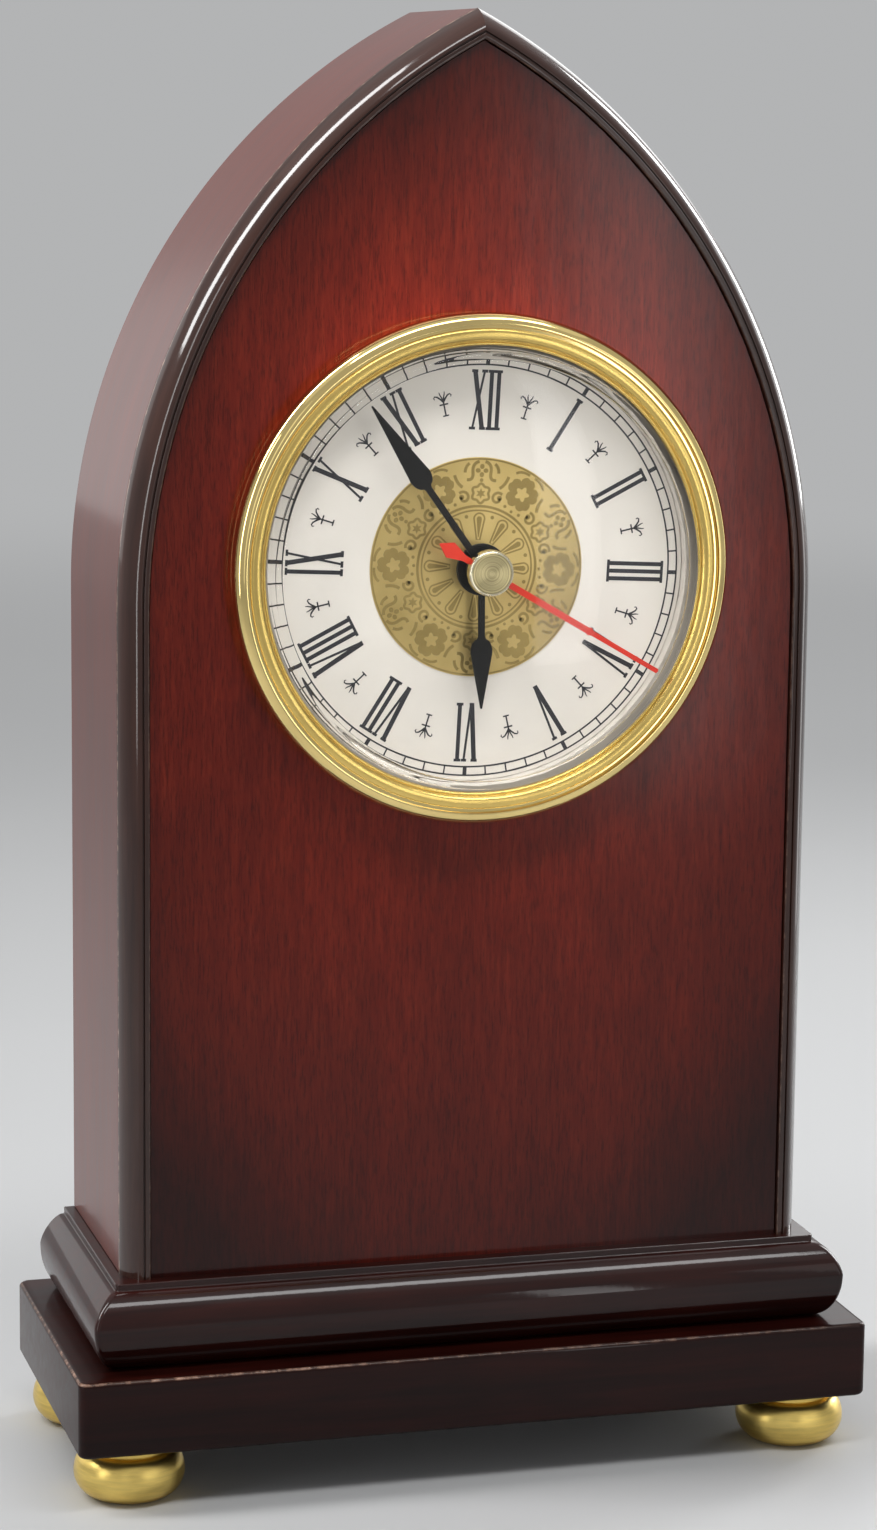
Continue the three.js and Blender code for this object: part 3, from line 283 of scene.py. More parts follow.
def dark_finish(name, along, low, high, coat, bent=False):
    """Dark stained wood under gloss lacquer, grained along one axis, with its arrises painted paler, partly
    as wear and partly as a painted highlight.
    """
    made = Finish(name, Coat_Weight=coat, Coat_Roughness=0.08, Coat_IOR=1.5, Specular_IOR_Level=0.05)
    grain = made.noise(along, 4.0, 0.6, 0.4, source=made.bent() if bent else None)
    cloud = made.noise(40, 2.0, 0.5)
    wood = made.ramp(grain, (0.3, low), (0.72, high))
    wood = made.mix(1.0, wood, made.ramp(cloud, (0.3, 0.72), (0.7, 1.15)), "MULTIPLY")
    patch = made.noise(420, 4.0, 0.65)
    # Painted paler along the stored arrises: partly wear, partly a painted highlight.
    wear_and_highlight = made.maths("MULTIPLY", made.stored("arris"), made.ramp(patch, (0.46, 0.12), (0.66, 1.0)))
    made.paint(made.mix(wear_and_highlight, wood, WEAR_AND_HIGHLIGHT_COLOUR))
    made.rough(grain, 0.28, 0.42)
    made.bump(made.noise(300, 2.0, 0.5), 0.05, 0.0003, "Coat Normal")
    return made.material


def board_finish():
    """Bare board with its layers showing on the cut edge."""
    made = Finish("board")
    layers = made.noise((40, 900, 40), 2.0, 0.6)
    fibre = made.noise((700, 700, 90), 4.0, 0.6)
    wood = made.ramp(fibre, (0.25, (0.34, 0.20, 0.10)), (0.75, (0.56, 0.38, 0.22)))
    made.paint(made.mix(0.5, wood, made.ramp(layers, (0.4, 0.6), (0.6, 1.0)), "MULTIPLY"))
    made.rough(fibre, 0.65, 0.9)
    made.bump(fibre, 0.25, 0.0003)


def back_finish():
    """Thin fibre board stained dark, matt, with a faint pressed texture."""
    made = Finish("back_board", Specular_IOR_Level=0.4)
    fibre = made.noise((420, 420, 60), 5.0, 0.65, 0.5)
    speckle = made.noise(1500, 2.0, 0.6)
    wood = made.ramp(fibre, (0.28, (0.024, 0.0082, 0.0056)), (0.74, (0.064, 0.0215, 0.0130)))
    made.paint(made.mix(0.35, wood, made.ramp(speckle, (0.35, 0.5), (0.6, 1.2)), "MULTIPLY"))
    made.rough(fibre, 0.45, 0.62)
    made.bump(speckle, 0.12, 0.0002)
    return made.material


TARNISH = 0.86


def brass_finish(name, colour, low, high, brush, depth, streak=0.2):
    """Metal with drawn marks along brush and a little tarnish."""
    made = Finish(name, Metallic=1.0)
    marks = made.noise(brush, 4.0, 0.6)
    stain = made.noise(55, 3.0, 0.6, 0.3)
    deep = tuple(channel * TARNISH for channel in colour)
    tint = made.ramp(stain, (0.32, deep), (0.58, colour))
    made.paint(made.mix(streak, tint, made.ramp(marks, (0.3, 0.65), (0.7, 1.0)), "MULTIPLY"))
    made.rough(marks, low, high)
    made.bump(marks, depth, 0.0001)
    return made.material


CAP_MARKS = 4200.0


def cap_finish():
    """Faced brass whose turning marks run round the axis of the hands."""
    made = Finish("cap_brass", Metallic=1.0, Anisotropic=0.95)
    axes = made.axes()
    span = made.squares(axes["X"], made.maths("SUBTRACT", axes["Z"], DIAL_Z * MM))
    ring = made.maths("MULTIPLY", made.maths("SQRT", span), CAP_MARKS)
    noise = made.node("TexNoise", {"Scale": 1.0, "Detail": 4.0, "W": ring}, noise_dimensions="1D")
    marks = noise.outputs["Fac"]
    made.paint(made.ramp(marks, (0.34, (0.33, 0.275, 0.135)), (0.66, (0.62, 0.53, 0.30))))
    made.rough(marks, 0.32, 0.42)
    made.bump(marks, 0.15, 0.00005)
    made.feed("Tangent", made.node("Tangent", direction_type="RADIAL", axis="Y").outputs["Tangent"])
    return made.material


def lens_finish():
    """Clear moulded acrylic that lets the lamps through to the dial."""
    made = Finish("lens_clear", Transmission_Weight=1.0, IOR=1.06, Coat_Weight=0.2, Coat_Roughness=0.02)
    made.paint((0.99, 0.99, 0.985))
    made.rough(made.noise(180, 3.0, 0.6), 0.0, 0.02)
    clear = made.node("BsdfTransparent", {"Color": (0.96, 0.96, 0.955)})
    made.blend(made.node("LightPath").outputs["Is Shadow Ray"], clear.outputs[0])
    return made.material


def grained_finish(
    name, low, high, rough_low, rough_high, size, depth, detail=3.0, drift=90, span=(0.32, 0.68),
    relief=0.0001, **values
):
    """Paint, foil, moulded plastic or rubber: a colour that drifts a little, with a fine surface grain."""
    made = Finish(name, **values)
    grain = made.noise(size, detail, 0.6)
    cloud = made.noise(drift, 2.0, 0.5)
    made.paint(made.ramp(cloud, (span[0], low), (span[1], high)))
    made.rough(grain, rough_low, rough_high)
    made.bump(grain, depth, relief)
    return made.material


def winding_finish():
    """Enamelled wire wound side by side."""
    made = Finish("copper", Metallic=0.9, Coat_Weight=0.5, Coat_Roughness=0.2)
    placed = {"Scale": 1.0, "Vector": made.place(1400)}
    wave = made.node("TexWave", placed, wave_type="BANDS", bands_direction="X")
    turns = wave.outputs["Fac"]
    made.paint(made.ramp(turns, (0.1, (0.20, 0.062, 0.022)), (0.7, (0.52, 0.20, 0.085))))
    made.rough(turns, 0.25, 0.4)
    made.bump(turns, 0.5, 0.0001)


def circuit_finish():
    """Green solder mask with paler copper tracks under it."""
    made = Finish("circuit", Coat_Weight=0.4, Coat_Roughness=0.2)
    placed = {"Scale": 1.0, "Vector": made.place(420)}
    cells = made.node("TexVoronoi", placed, feature="DISTANCE_TO_EDGE")
    tracks = made.ramp(cells.outputs["Distance"], (0.05, (0.10, 0.30, 0.12)), (0.12, (0.014, 0.085, 0.034)))
    made.paint(tracks)
    made.rough(made.noise(600), 0.35, 0.5)


SIDE = side_finish()
DARK = dark_finish("dark_wood", (24, 420, 420), (0.0100, 0.0016, 0.0011), (0.0290, 0.0046, 0.0030), 0.3)
PLINTH = dark_finish("plinth_wood", (24, 420, 420), (0.0150, 0.0022, 0.0014), (0.0400, 0.0060, 0.0036), 0.6)
MOULD = dark_finish(
    "moulding_wood", (1, 420, 24), (0.0320, 0.0112, 0.0072), (0.0680, 0.0230, 0.0145), 1.0, bent=True
)
BACK = back_finish()
BRASS = brass_finish("brass", (0.98, 0.76, 0.315), 0.05, 0.10, 90, 0.01)
GOLD = brass_finish("brass_band", (0.90, 0.65, 0.20), 0.2, 0.3, 500, 0.04)
SATIN = brass_finish("brass_satin", (0.92, 0.68, 0.20), 0.24, 0.44, (170, 170, 1700), 0.22, 0.6)
STEEL = brass_finish("steel", (0.60, 0.60, 0.585), 0.22, 0.4, 700, 0.08)
CAP = cap_finish()
CAP_EDGE = brass_finish("cap_edge", (0.86, 0.80, 0.62), 0.10, 0.2, 300, 0.03)
PRESSED = {"detail": 2.0, "drift": 130, "relief": 0.00004, "Metallic": 0.85, "Specular_IOR_Level": 0.5}
FOIL = grained_finish(
    "gold_foil", (0.56, 0.415, 0.155), (0.68, 0.51, 0.205), 0.34, 0.46, 2600, 0.12, **PRESSED
)
GILT = grained_finish(
    "gold_ornament", (0.27, 0.195, 0.066), (0.35, 0.255, 0.09), 0.38, 0.5, 2600, 0.12, **PRESSED
)
SPRAYED = {"detail": 2.0, "drift": 60, "span": (0.3, 0.7), "relief": 0.00005, "Specular_IOR_Level": 0.3}
DIAL = grained_finish(
    "dial_paint", (0.76, 0.715, 0.65), (0.80, 0.755, 0.69), 0.5, 0.62, 3000, 0.06, **SPRAYED
)
PRINT = grained_finish("dial_ink", (0.010, 0.010, 0.014), (0.018, 0.017, 0.022), 0.35, 0.5, 2000, 0.05)
LENS = lens_finish()
BLACK = grained_finish(
    "hand_black", (0.004, 0.004, 0.004), (0.010, 0.0095, 0.009), 0.3, 0.42, 2400, 0.05, Specular_IOR_Level=0.2
)
RED = grained_finish(
    "hand_red", (0.60, 0.020, 0.009), (0.70, 0.034, 0.014), 0.28, 0.42, 2400, 0.05, Specular_IOR_Level=0.25
)
PLASTIC = grained_finish(
    "plastic_black", (0.010, 0.010, 0.011), (0.017, 0.017, 0.018), 0.42, 0.58, 1800, 0.25
)
IVORY = grained_finish("plastic_ivory", (0.60, 0.56, 0.45), (0.68, 0.645, 0.53), 0.4, 0.52, 1500, 0.1)
WRAP = grained_finish(
    "cell_wrap", (0.035, 0.038, 0.043), (0.055, 0.058, 0.065), 0.25, 0.36, 900, 0.05, Coat_Weight=0.6
)
BAND = grained_finish(
    "cell_band", (0.42, 0.31, 0.12), (0.52, 0.39, 0.16), 0.25, 0.36, 900, 0.05, Metallic=0.7
)

# Finishes that only CAD nodes wear, which find them by the name of their slot
panel_finish()
board_finish()
brass_finish("train_brass", (0.74, 0.54, 0.26), 0.2, 0.34, (1600, 120, 120), 0.06)
grained_finish("rubber", (0.010, 0.010, 0.010), (0.020, 0.0195, 0.019), 0.7, 0.9, 1500, 0.3)
circuit_finish()
winding_finish()


# Shapes, in millimetres: each is a pair of vertices and faces

def arc(centre, radii, start, end, steps):
    """Points of a round, with one radius or one for each axis."""
    across, along = radii if isinstance(radii, tuple) else (radii, radii)
    points = []
    for i in range(steps + 1):
        angle = radians(start + (end - start) * i / steps)
        points.append((centre[0] + across * cos(angle), centre[1] + along * sin(angle)))
    return points


FLATTENED = 1.33


def shoulder_curve(width, rise, steps):
    """A quarter round from (0, 0) to (width, rise), flattened at its middle."""
    points = []
    for i in range(steps + 1):
        angle = radians(90 * i / steps)
        points.append((width * (1.0 - cos(angle) ** FLATTENED), rise * sin(angle) ** FLATTENED))
    return points


def loft(rings, closed=False):
    """Rings of equal count joined in order, then capped, or closed from the last ring to the first."""
    count = len(rings[0])
    vertices = [point for ring in rings for point in ring]
    faces = []
    for ring in range(len(rings) if closed else len(rings) - 1):
        low = ring * count
        high = (ring + 1) % len(rings) * count
        for i in range(count):
            j = (i + 1) % count
            faces.append((low + i, low + j, high + j, high + i))
    if not closed:
        faces.append(tuple(range(count))[::-1])
        faces.append(tuple(range(len(vertices) - count, len(vertices))))
    return vertices, faces


def lathe(profile, place, axis, segments):
    """A closed profile of (radius, along) turned about an axis through place."""
    rings = []
    for i in range(segments):
        angle = 2 * pi * i / segments
        ring = []
        for radius, along in profile:
            u, v = radius * cos(angle), radius * sin(angle)
            offset = {"X": (along, u, v), "Y": (u, along, v), "Z": (u, v, along)}[axis]
            ring.append(tuple(a + b for a, b in zip(place, offset)))
        rings.append(ring)
    return loft(rings, closed=True)


def dial_lathe(profile, face, steps):
    """Turned about the dial axis, with heights ahead of a face."""
    return lathe([(r, face - ahead) for r, ahead in profile], (0, 0, DIAL_Z), "Y", steps)


def on_dial(u, v, degrees):
    """A point of the dial, u across and v outwards, turned clockwise from twelve."""
    angle = radians(degrees)
    return u * cos(angle) + v * sin(angle), DIAL_Z - u * sin(angle) + v * cos(angle)


def spun(x, y, turn):
    """A pair turned about nought by an angle in radians."""
    return x * cos(turn) - y * sin(turn), x * sin(turn) + y * cos(turn)


def prism(outline, front, back):
    """An outline in x and z standing between two depths."""
    return loft([[(x, y, z) for x, z in outline] for y in (front, back)])


def bar(u0, u1, v0, v1):
    return [(u0, v0), (u1, v0), (u1, v1), (u0, v1)]


def ribbon(points, width, closed=False):
    """A line of even or stated width as quadrilaterals in u and v."""
    count = len(points)
    widths = width if isinstance(width, (list, tuple)) else [width] * count
    sides = []
    for i, (u, v) in enumerate(points):
        before = points[i - 1] if closed or i else points[i]
        after = points[(i + 1) % count] if closed or i + 1 < count else points[i]
        du, dv = after[0] - before[0], after[1] - before[1]
        length = hypot(du, dv) or 1.0
        nu, nv = -dv / length * widths[i] / 2, du / length * widths[i] / 2
        sides.append(((u + nu, v + nv), (u - nu, v - nv)))
    quads = []
    for i in range(count if closed else count - 1):
        a, b = sides[i], sides[(i + 1) % count]
        quads.append([a[0], b[0], b[1], a[1]])
    return quads


def disc(u, v, radius, steps=16, squash=1.0, turn=0.0):
    points = []
    for i in range(steps):
        angle = 2 * pi * i / steps
        x, y = spun(radius * cos(angle), radius * squash * sin(angle), turn)
        points.append((u + x, v + y))
    return points


def join(*shapes):
    vertices, faces = [], []
    for points, polygons in shapes:
        base = len(vertices)
        vertices.extend(points)
        faces.extend(tuple(base + i for i in polygon) for polygon in polygons)
    return vertices, faces


def added(name, data):
    """A new object in the scene."""
    made = bpy.data.objects.new(name, data)
    bpy.context.scene.collection.objects.link(made)
    return made


def ease(made, width, segments, angle, hardened):
    """A bevel on the edges that are sharper than an angle."""
    edge = made.modifiers.new("arris", "BEVEL")
    edge.width = width * MM
    edge.segments = segments
    edge.limit_method = "ANGLE"
    edge.angle_limit = radians(angle)
    edge.harden_normals = hardened


# Distances in metres below which points are one point and faces are nothing, and the angle of a bevelled edge
WELD = 1e-7
SLIVER = 1e-8
SHARP_ANGLE = 40


def piece(
    name, shape, material, body="case", replaces=(), smooth=35.0, bevel=None, segments=3, marks=None
):
    """A mesh object in metres that rides on a body."""
    vertices, faces = shape
    mesh = bpy.data.meshes.new(name)
    mesh.from_pydata([(x * MM, y * MM, z * MM) for x, y, z in vertices], [], faces)
    for mark, values in (marks or {}).items():
        mesh.attributes.new(mark, "FLOAT", "POINT").data.foreach_set("value", values)
    work = bmesh.new()
    work.from_mesh(mesh)
    bmesh.ops.remove_doubles(work, verts=work.verts, dist=WELD)
    bmesh.ops.dissolve_degenerate(work, edges=work.edges, dist=SLIVER)
    bmesh.ops.recalc_face_normals(work, faces=work.faces)
    work.to_mesh(mesh)
    work.free()
    mesh.materials.append(material)
    mesh.polygons.foreach_set("use_smooth", [True] * len(mesh.polygons))
    mesh.set_sharp_from_angle(angle=radians(smooth))
    made = added(name, mesh)
    if bevel:
        ease(made, bevel, segments, SHARP_ANGLE, True)
    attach(made, body)
    if replaces:
        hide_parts(*replaces)


# Slab, with its upper arris painted paler, partly as wear and partly as a painted highlight, most at the
# front left corner
ARRIS_STEPS = 8
WORN_AND_HIGHLIT_STEPS = (3, 4, 5)
WORN_AND_HIGHLIT_CORNER = 6.0
WORN_AND_HIGHLIT_ELSEWHERE = 0.3


def rounded_ring(half_x, half_y, radius, z, steps=6):
    ring = []
    for sx, sy, start in ((1, -1, -90), (1, 1, 0), (-1, 1, 90), (-1, -1, 180)):
        centre = (sx * (half_x - radius), sy * (half_y - radius))
        ring.extend((x, y, z) for x, y in arc(centre, radius, start, start + 90, steps))
    return ring


slab_rings = []
slab_worn_and_highlit = []
for centre_z, start in ((SLAB_BOTTOM + SLAB_ARRIS, 270), (SLAB_TOP - SLAB_ARRIS, 180)):
    quarter = arc((SLAB_ARRIS, centre_z), SLAB_ARRIS, start, start - 90, ARRIS_STEPS)
    for step, (inset, z) in enumerate(quarter):
        ring = rounded_ring(SLAB_HALF[0] - inset, SLAB_HALF[1] - inset, SLAB_CORNER - inset / 2, z)
        slab_rings.append(ring)
        upper = 1.0 if start == 180 and step in WORN_AND_HIGHLIT_STEPS else 0.0
        for x, y, _ in ring:
            from_corner = hypot(x + SLAB_HALF[0], y + SLAB_HALF[1])
            slab_worn_and_highlit.append(upper * (1.0 if from_corner < WORN_AND_HIGHLIT_CORNER else WORN_AND_HIGHLIT_ELSEWHERE))
slab_shape = loft(slab_rings)
piece("base_slab_wood", slab_shape, DARK, replaces=["base_slab"], marks={"arris": slab_worn_and_highlit})

# Plinth: a bullnose of a quarter round and a shoulder, then a small step under the case, as (inset, rise)
NOSE_DEPTH, NOSE_RISE = 4.5, 8.3
SHOULDER_DEPTH, SHOULDER_RISE = 4.2, 5.6
PLINTH_CORNER = 1.0
bullnose = arc((NOSE_DEPTH, NOSE_RISE), (NOSE_DEPTH, NOSE_RISE), 270, 180, 20)
for inset, rise in shoulder_curve(SHOULDER_DEPTH, SHOULDER_RISE, 24)[1:]:
    bullnose.append((inset, NOSE_RISE + rise))
bullnose += [(4.45, 13.9), (4.6, 14.05), (4.6, 15.05), (4.75, PLINTH_TOP - SLAB_TOP)]
plinth_rings = []
for inset, rise in bullnose:
    half, front, z = PLINTH_HALF - inset, PLINTH_FRONT + inset, SLAB_TOP + rise
    ring = [(-half, BACK_Y, z)]
    for x, start in ((-half + PLINTH_CORNER, 180), (half - PLINTH_CORNER, 270)):
        ring += [(u, v, z) for u, v in arc((x, front + PLINTH_CORNER), PLINTH_CORNER, start, start + 90, 6)]
    ring += [(half, BACK_Y, z)]
    plinth_rings.append(ring)
piece("plinth_wood", loft(plinth_rings), PLINTH, replaces=["plinth"], bevel=0.12, segments=2)

# Bun feet, as (radius, height), bored and recessed for a screw
FOOT_STEPS = 72
foot_profile = [(3.7, 0.0)] + arc((5.3, 4.7), 4.7, 270, 360, 18)
foot_profile += arc((7.2, 4.7), (2.8, 4.0), 6, 90, 12)
foot_profile += [(7.2, 9.6), (7.95, 9.6), (8.1, 9.75), (8.1, SLAB_BOTTOM)]
foot_profile += [(2.0, SLAB_BOTTOM), (2.0, 5.25), (3.7, 5.25)]
for depth, y in (("front", -FOOT_Y), ("back", FOOT_Y)):
    for side, x in (("left", -FOOT_X), ("right", FOOT_X)):
        place = depth + "_" + side
        foot = lathe(foot_profile, (x, y, 0), "Z", FOOT_STEPS)
        piece("bun_" + place, foot, SATIN, replaces=["foot_" + place])


# Case: sides and mouldings

def outline(hand, inset, steps=72):
    centre = ARCH_RADIUS - CASE_WIDTH / 2
    radius = ARCH_RADIUS - inset
    sweep = acos(centre / radius)
    points = [(hand * (CASE_WIDTH / 2 - inset), PLINTH_TOP)]
    for i in range(steps + 1):
        angle = sweep * i / steps
        points.append((hand * (radius * cos(angle) - centre), SPRING_Z + radius * sin(angle)))
    return points


def runs(profile):
    """The run along the outline in metres, once for each point of a strip."""
    line = outline(1, 0.0)
    lengths = [0.0]
    for before, after in zip(line, line[1:]):
        lengths.append(lengths[-1] + dist(before, after) * MM)
    return [length for length in lengths for _ in profile]


def strip(hand, profile):
    """A profile of (inset, depth) carried up one side of the outline."""
    lines = [outline(hand, inset) for inset, _ in profile]
    rings = []
    for row in zip(*lines):
        rings.append([(x, y, z) for (x, z), (_, y) in zip(row, profile)])
    return loft(rings)


side_profile = [(0, BOARD_Y), (SIDE_THICKNESS, BOARD_Y), (SIDE_THICKNESS, REBATE_Y)]
side_profile += [(BACK_LIP, REBATE_Y), (BACK_LIP, BACK_Y), (0, BACK_Y)]

# The moulding is a shoulder, a quirk as (across, deep) and a narrow bead, with two edges painted paler,
# partly as wear and partly as painted highlights
ROUND_WIDTH = 3.45
QUIRK = ((0.07, 0.06), (0.17, 0.45), (0.27, 0.45), (0.37, 0.06), (0.45, 0.0))
BEAD_EASE = 0.3
WORN_AND_HIGHLIT_BEAD = 0.35
crest = FRONT_Y - MOULDING_RISE
quarter = shoulder_curve(ROUND_WIDTH, BOARD_Y - crest, 24)
mould_profile = [(across, BOARD_Y - ahead) for across, ahead in quarter]
mould_profile += [(ROUND_WIDTH + across, crest + deep) for across, deep in QUIRK]
mould_profile += arc((MOULDING_WIDTH - BEAD_EASE, crest + BEAD_EASE), BEAD_EASE, 270, 360, 4)
mould_profile += [(MOULDING_WIDTH, BOARD_Y)]
mould_worn_and_highlit = [0.0] * len(mould_profile)
mould_worn_and_highlit[1:3] = [1.0] * 2
mould_worn_and_highlit[-5:-2] = [WORN_AND_HIGHLIT_BEAD] * 3
side_marks = {"along": runs(side_profile)}
edge_marks = {"along": runs(mould_profile), "arris": mould_worn_and_highlit * len(outline(1, 0.0))}
for hand, name in ((-1, "left"), (1, "right")):
    side = strip(hand, side_profile)
    piece(name + "_side_wood", side, SIDE, "case", [name + "_side"], bevel=0.3, marks=side_marks)
    edge = strip(hand, mould_profile)
    piece(
        name + "_edge_wood", edge, MOULD, "case", [name + "_moulding"],
        smooth=50.0, marks=edge_marks,
    )

# Bezel: a polished rim outside a satin band, as (radius, height ahead of the panel face)
BEZEL_STEPS = 192
BAND_RADIUS = 42.5
BAND_HEIGHT = 5.0
rim = [(BAND_RADIUS, 0.0), (43.9, 0.0), (43.95, 0.5)] + arc((43.0, 3.55), (2.2, 2.35), -48, 82, 26)
rim += [(43.08, 5.84), (43.0, 5.6), (43.0, BAND_HEIGHT), (BAND_RADIUS, BAND_HEIGHT)]
piece("bezel_rim", dial_lathe(rim, FRONT_Y, BEZEL_STEPS), BRASS, replaces=["bezel"], smooth=40.0)
satin = [(40.6, 0.0), (BAND_RADIUS, 0.0), (BAND_RADIUS, BAND_HEIGHT), (42.4, 5.4)]
satin += arc((41.35, 5.25), (1.0, 0.42), 20, 160, 14) + [(40.3, 5.25), (40.05, BAND_HEIGHT)]
satin += arc((39.85, 4.4), (0.35, 0.5), 60, 170, 6) + [(39.5, 4.2), (39.5, 3.6), (40.6, 3.6)]
piece("bezel_band", dial_lathe(satin, FRONT_Y, BEZEL_STEPS), GOLD, replaces=["bezel"], smooth=40.0)

# Lens: a flange under the bezel, a steep wall and a shallow dome
DIAL_STEPS = 144
lens = [(40.4, 2.3), (40.4, 3.5), (39.3, 3.5), (38.55, 7.3)] + arc((37.6, 7.45), (0.9, 0.95), 0, 78, 8)
lens += arc((0, 8.4), (37.1, 2.2), 8, 90, 28) + arc((0, 7.1), (35.8, 2.2), 90, 8, 28)
lens += [(36.9, 7.1), (37.15, 6.8), (38.0, 2.3)]
piece("lens_dome", dial_lathe(lens, FRONT_Y, DIAL_STEPS), LENS, replaces=["lens"], smooth=40.0)

# Dial and foil, as (radius, height above the dial)
DIAL_BORE = 2.8
DIAL_THICKNESS = 0.8
DIAL_EASE = 0.05
FOIL_EASE = (0.03, 0.02)
plate = [(DIAL_BORE, -DIAL_THICKNESS), (DIAL_RADIUS, -DIAL_THICKNESS), (DIAL_RADIUS, -DIAL_EASE)]
plate += [(DIAL_RADIUS - DIAL_EASE, 0.0), (DIAL_BORE, 0.0)]
piece("dial_plate", dial_lathe(plate, DIAL_Y, DIAL_STEPS), DIAL, replaces=["dial"])
foil = [(DIAL_BORE, 0.0), (FOIL_RADIUS, 0.0), (FOIL_RADIUS, FOIL_THICKNESS - FOIL_EASE[1])]
foil += [(FOIL_RADIUS - FOIL_EASE[0], FOIL_THICKNESS), (DIAL_BORE, FOIL_THICKNESS)]
piece("dial_foil", dial_lathe(foil, DIAL_Y, DIAL_STEPS), FOIL, replaces=["dial_centre"])

# Print on the dial, in millimetres across and outwards
INK = 0.03
INK_LAYER = 0.003
STROKE_LAYERS = 7


def printed(name, polygons, face, material, layers=1):
    """Flat shapes in world x and z laid on a face of the dial; strokes that cross take turns in height."""
    shapes = []
    for i, points in enumerate(polygons):
        shapes.append(prism(points, face - INK - INK_LAYER * (i % layers), face))
    piece(name, join(*shapes), material)


def turned(polygons, degrees):
    return [[on_dial(u, v, degrees) for u, v in points] for points in polygons]


def ring_of(radius, width, v=0.0, steps=180, lobes=0, depth=0.0):
    """A closed line about a point of the dial, plain or scalloped."""
    points = []
    for i in range(steps):
        angle = 2 * pi * i / steps
        size = radius * (1.0 + depth * cos(lobes * angle))
        points.append((size * sin(angle), v + size * cos(angle)))
    return ribbon(points, width, closed=True)


TRACK_RINGS = (35.85, 37.45)
TRACK_LINE = 0.3
TICK_REACH = (36.0, 37.29)
TICK_WIDTH = 0.28
HOUR_TICK_WIDTH = 0.72
track = []
for radius in TRACK_RINGS:
    track += turned(ring_of(radius, TRACK_LINE), 0)
for minute in range(60):
    half = (TICK_WIDTH if minute % 5 else HOUR_TICK_WIDTH) / 2
    track += turned([bar(-half, half, *TICK_REACH)], minute * 6 + INSERT_TURN)
printed("dial_track", track, DIAL_Y, PRINT)

# Numerals: an upright has its two sides, the reach of its serifs and its step to the next letter
LOW, HIGH, SERIF = 24.3, 34.9, 0.5
UPRIGHT = (0.26, 0.99)
UPRIGHT_SERIF = 1.25
UPRIGHT_STEP = 1.36
LETTER_GAP = 0.15
LETTER_STEP = 3.05

# Other letters have slants as (top, bottom, width), serifs as (start, end) and the heights of those serifs
LETTERS = {
    "V": (((0.55, 1.5, 0.85), (2.5, 1.62, 0.42)), ((0.0, 1.15), (1.98, 2.95)), (HIGH - SERIF,)),
    "X": (((0.55, 2.4, 0.85), (2.4, 0.55, 0.4)), ((0.0, 1.12), (1.85, 2.95)), (HIGH - SERIF, LOW)),
}


def slant(top, bottom, width):
    half = width / 2
    return [(bottom - half, LOW), (bottom + half, LOW), (top + half, HIGH), (top - half, HIGH)]


def serif_pair(start, end):
    return [bar(start, end, low, low + SERIF) for low in (LOW, HIGH - SERIF)]


def numeral(text):
    """Strokes of a Roman numeral, with serif bars that join neighbouring uprights."""
    strokes = []
    at = 0.0
    started = None
    for letter in text:
        if letter == "I":
            started = at if started is None else started
            ended = at + UPRIGHT_SERIF
            strokes.append(bar(at + UPRIGHT[0], at + UPRIGHT[1], LOW, HIGH))
            at += UPRIGHT_STEP
            continue
        if started is not None:
            strokes += serif_pair(started, ended)
            started = None
            at += LETTER_GAP
        slants, serifs, heights = LETTERS[letter]
        strokes += [slant(at + top, at + bottom, width) for top, bottom, width in slants]
        for start, end in serifs:
            strokes += [bar(at + start, at + end, low, low + SERIF) for low in heights]
        at += LETTER_STEP
    if started is not None:
        strokes += serif_pair(started, ended)
    across = [u for stroke in strokes for u, _ in stroke]
    middle = (min(across) + max(across)) / 2
    return [[(u - middle, v) for u, v in stroke] for stroke in strokes]


numerals = []
for hour, text in enumerate("XII I II III IV V VI VII VIII IX X XI".split()):
    numerals += turned(numeral(text), hour * 30 + INSERT_TURN)
printed("dial_numerals", numerals, DIAL_Y, PRINT, STROKE_LAYERS)


def fleur():
    """A small half-hour mark: a stem with a foot and a cross bar, two inner petals and two curled ones."""
    shapes = [bar(-0.14, 0.14, 27.4, 30.4), bar(-0.55, 0.55, 27.35, 27.6), bar(-0.8, 0.8, 29.35, 29.62)]
    for side in (-1, 1):
        inner = [(0.0, 30.0), (side * 0.18, 30.7), (side * 0.42, 31.3), (side * 0.5, 31.75)]
        shapes += ribbon(inner, [0.26, 0.24, 0.2, 0.12])
        outer = [(0.0, 29.9), (side * 0.45, 30.5), (side * 0.95, 31.0), (side * 1.4, 31.15)]
        outer += [(side * 1.62, 30.9), (side * 1.5, 30.6)]
        shapes += ribbon(outer, [0.3, 0.3, 0.27, 0.24, 0.22, 0.14])
    return shapes


fleurs = []
for hour in range(12):
    fleurs += turned(fleur(), hour * 30 + 15 + INSERT_TURN)
printed("dial_fleurs", fleurs, DIAL_Y, PRINT, STROKE_LAYERS)


# Ornament of the foil, in millimetres across and outwards

def petal(low, high, root, width):
    """A long petal with a narrow root and a round outer end."""
    centre = high - width / 2
    return [(root / 2, low)] + arc((0.0, centre), width / 2, 0, 180, 14) + [(-root / 2, low)]


def scroll(u, v, radius, start, sweep, side, line):
    """A line that winds inwards to a small ball."""
    steps = 14
    points = []
    for i in range(steps + 1):
        angle = radians(start + sweep * i / steps)
        size = radius * (1.0 - 0.65 * i / steps)
        points.append((u + side * size * cos(angle), v + size * sin(angle)))
    return ribbon(points, line) + [disc(*points[-1], line * 0.95, 12)]


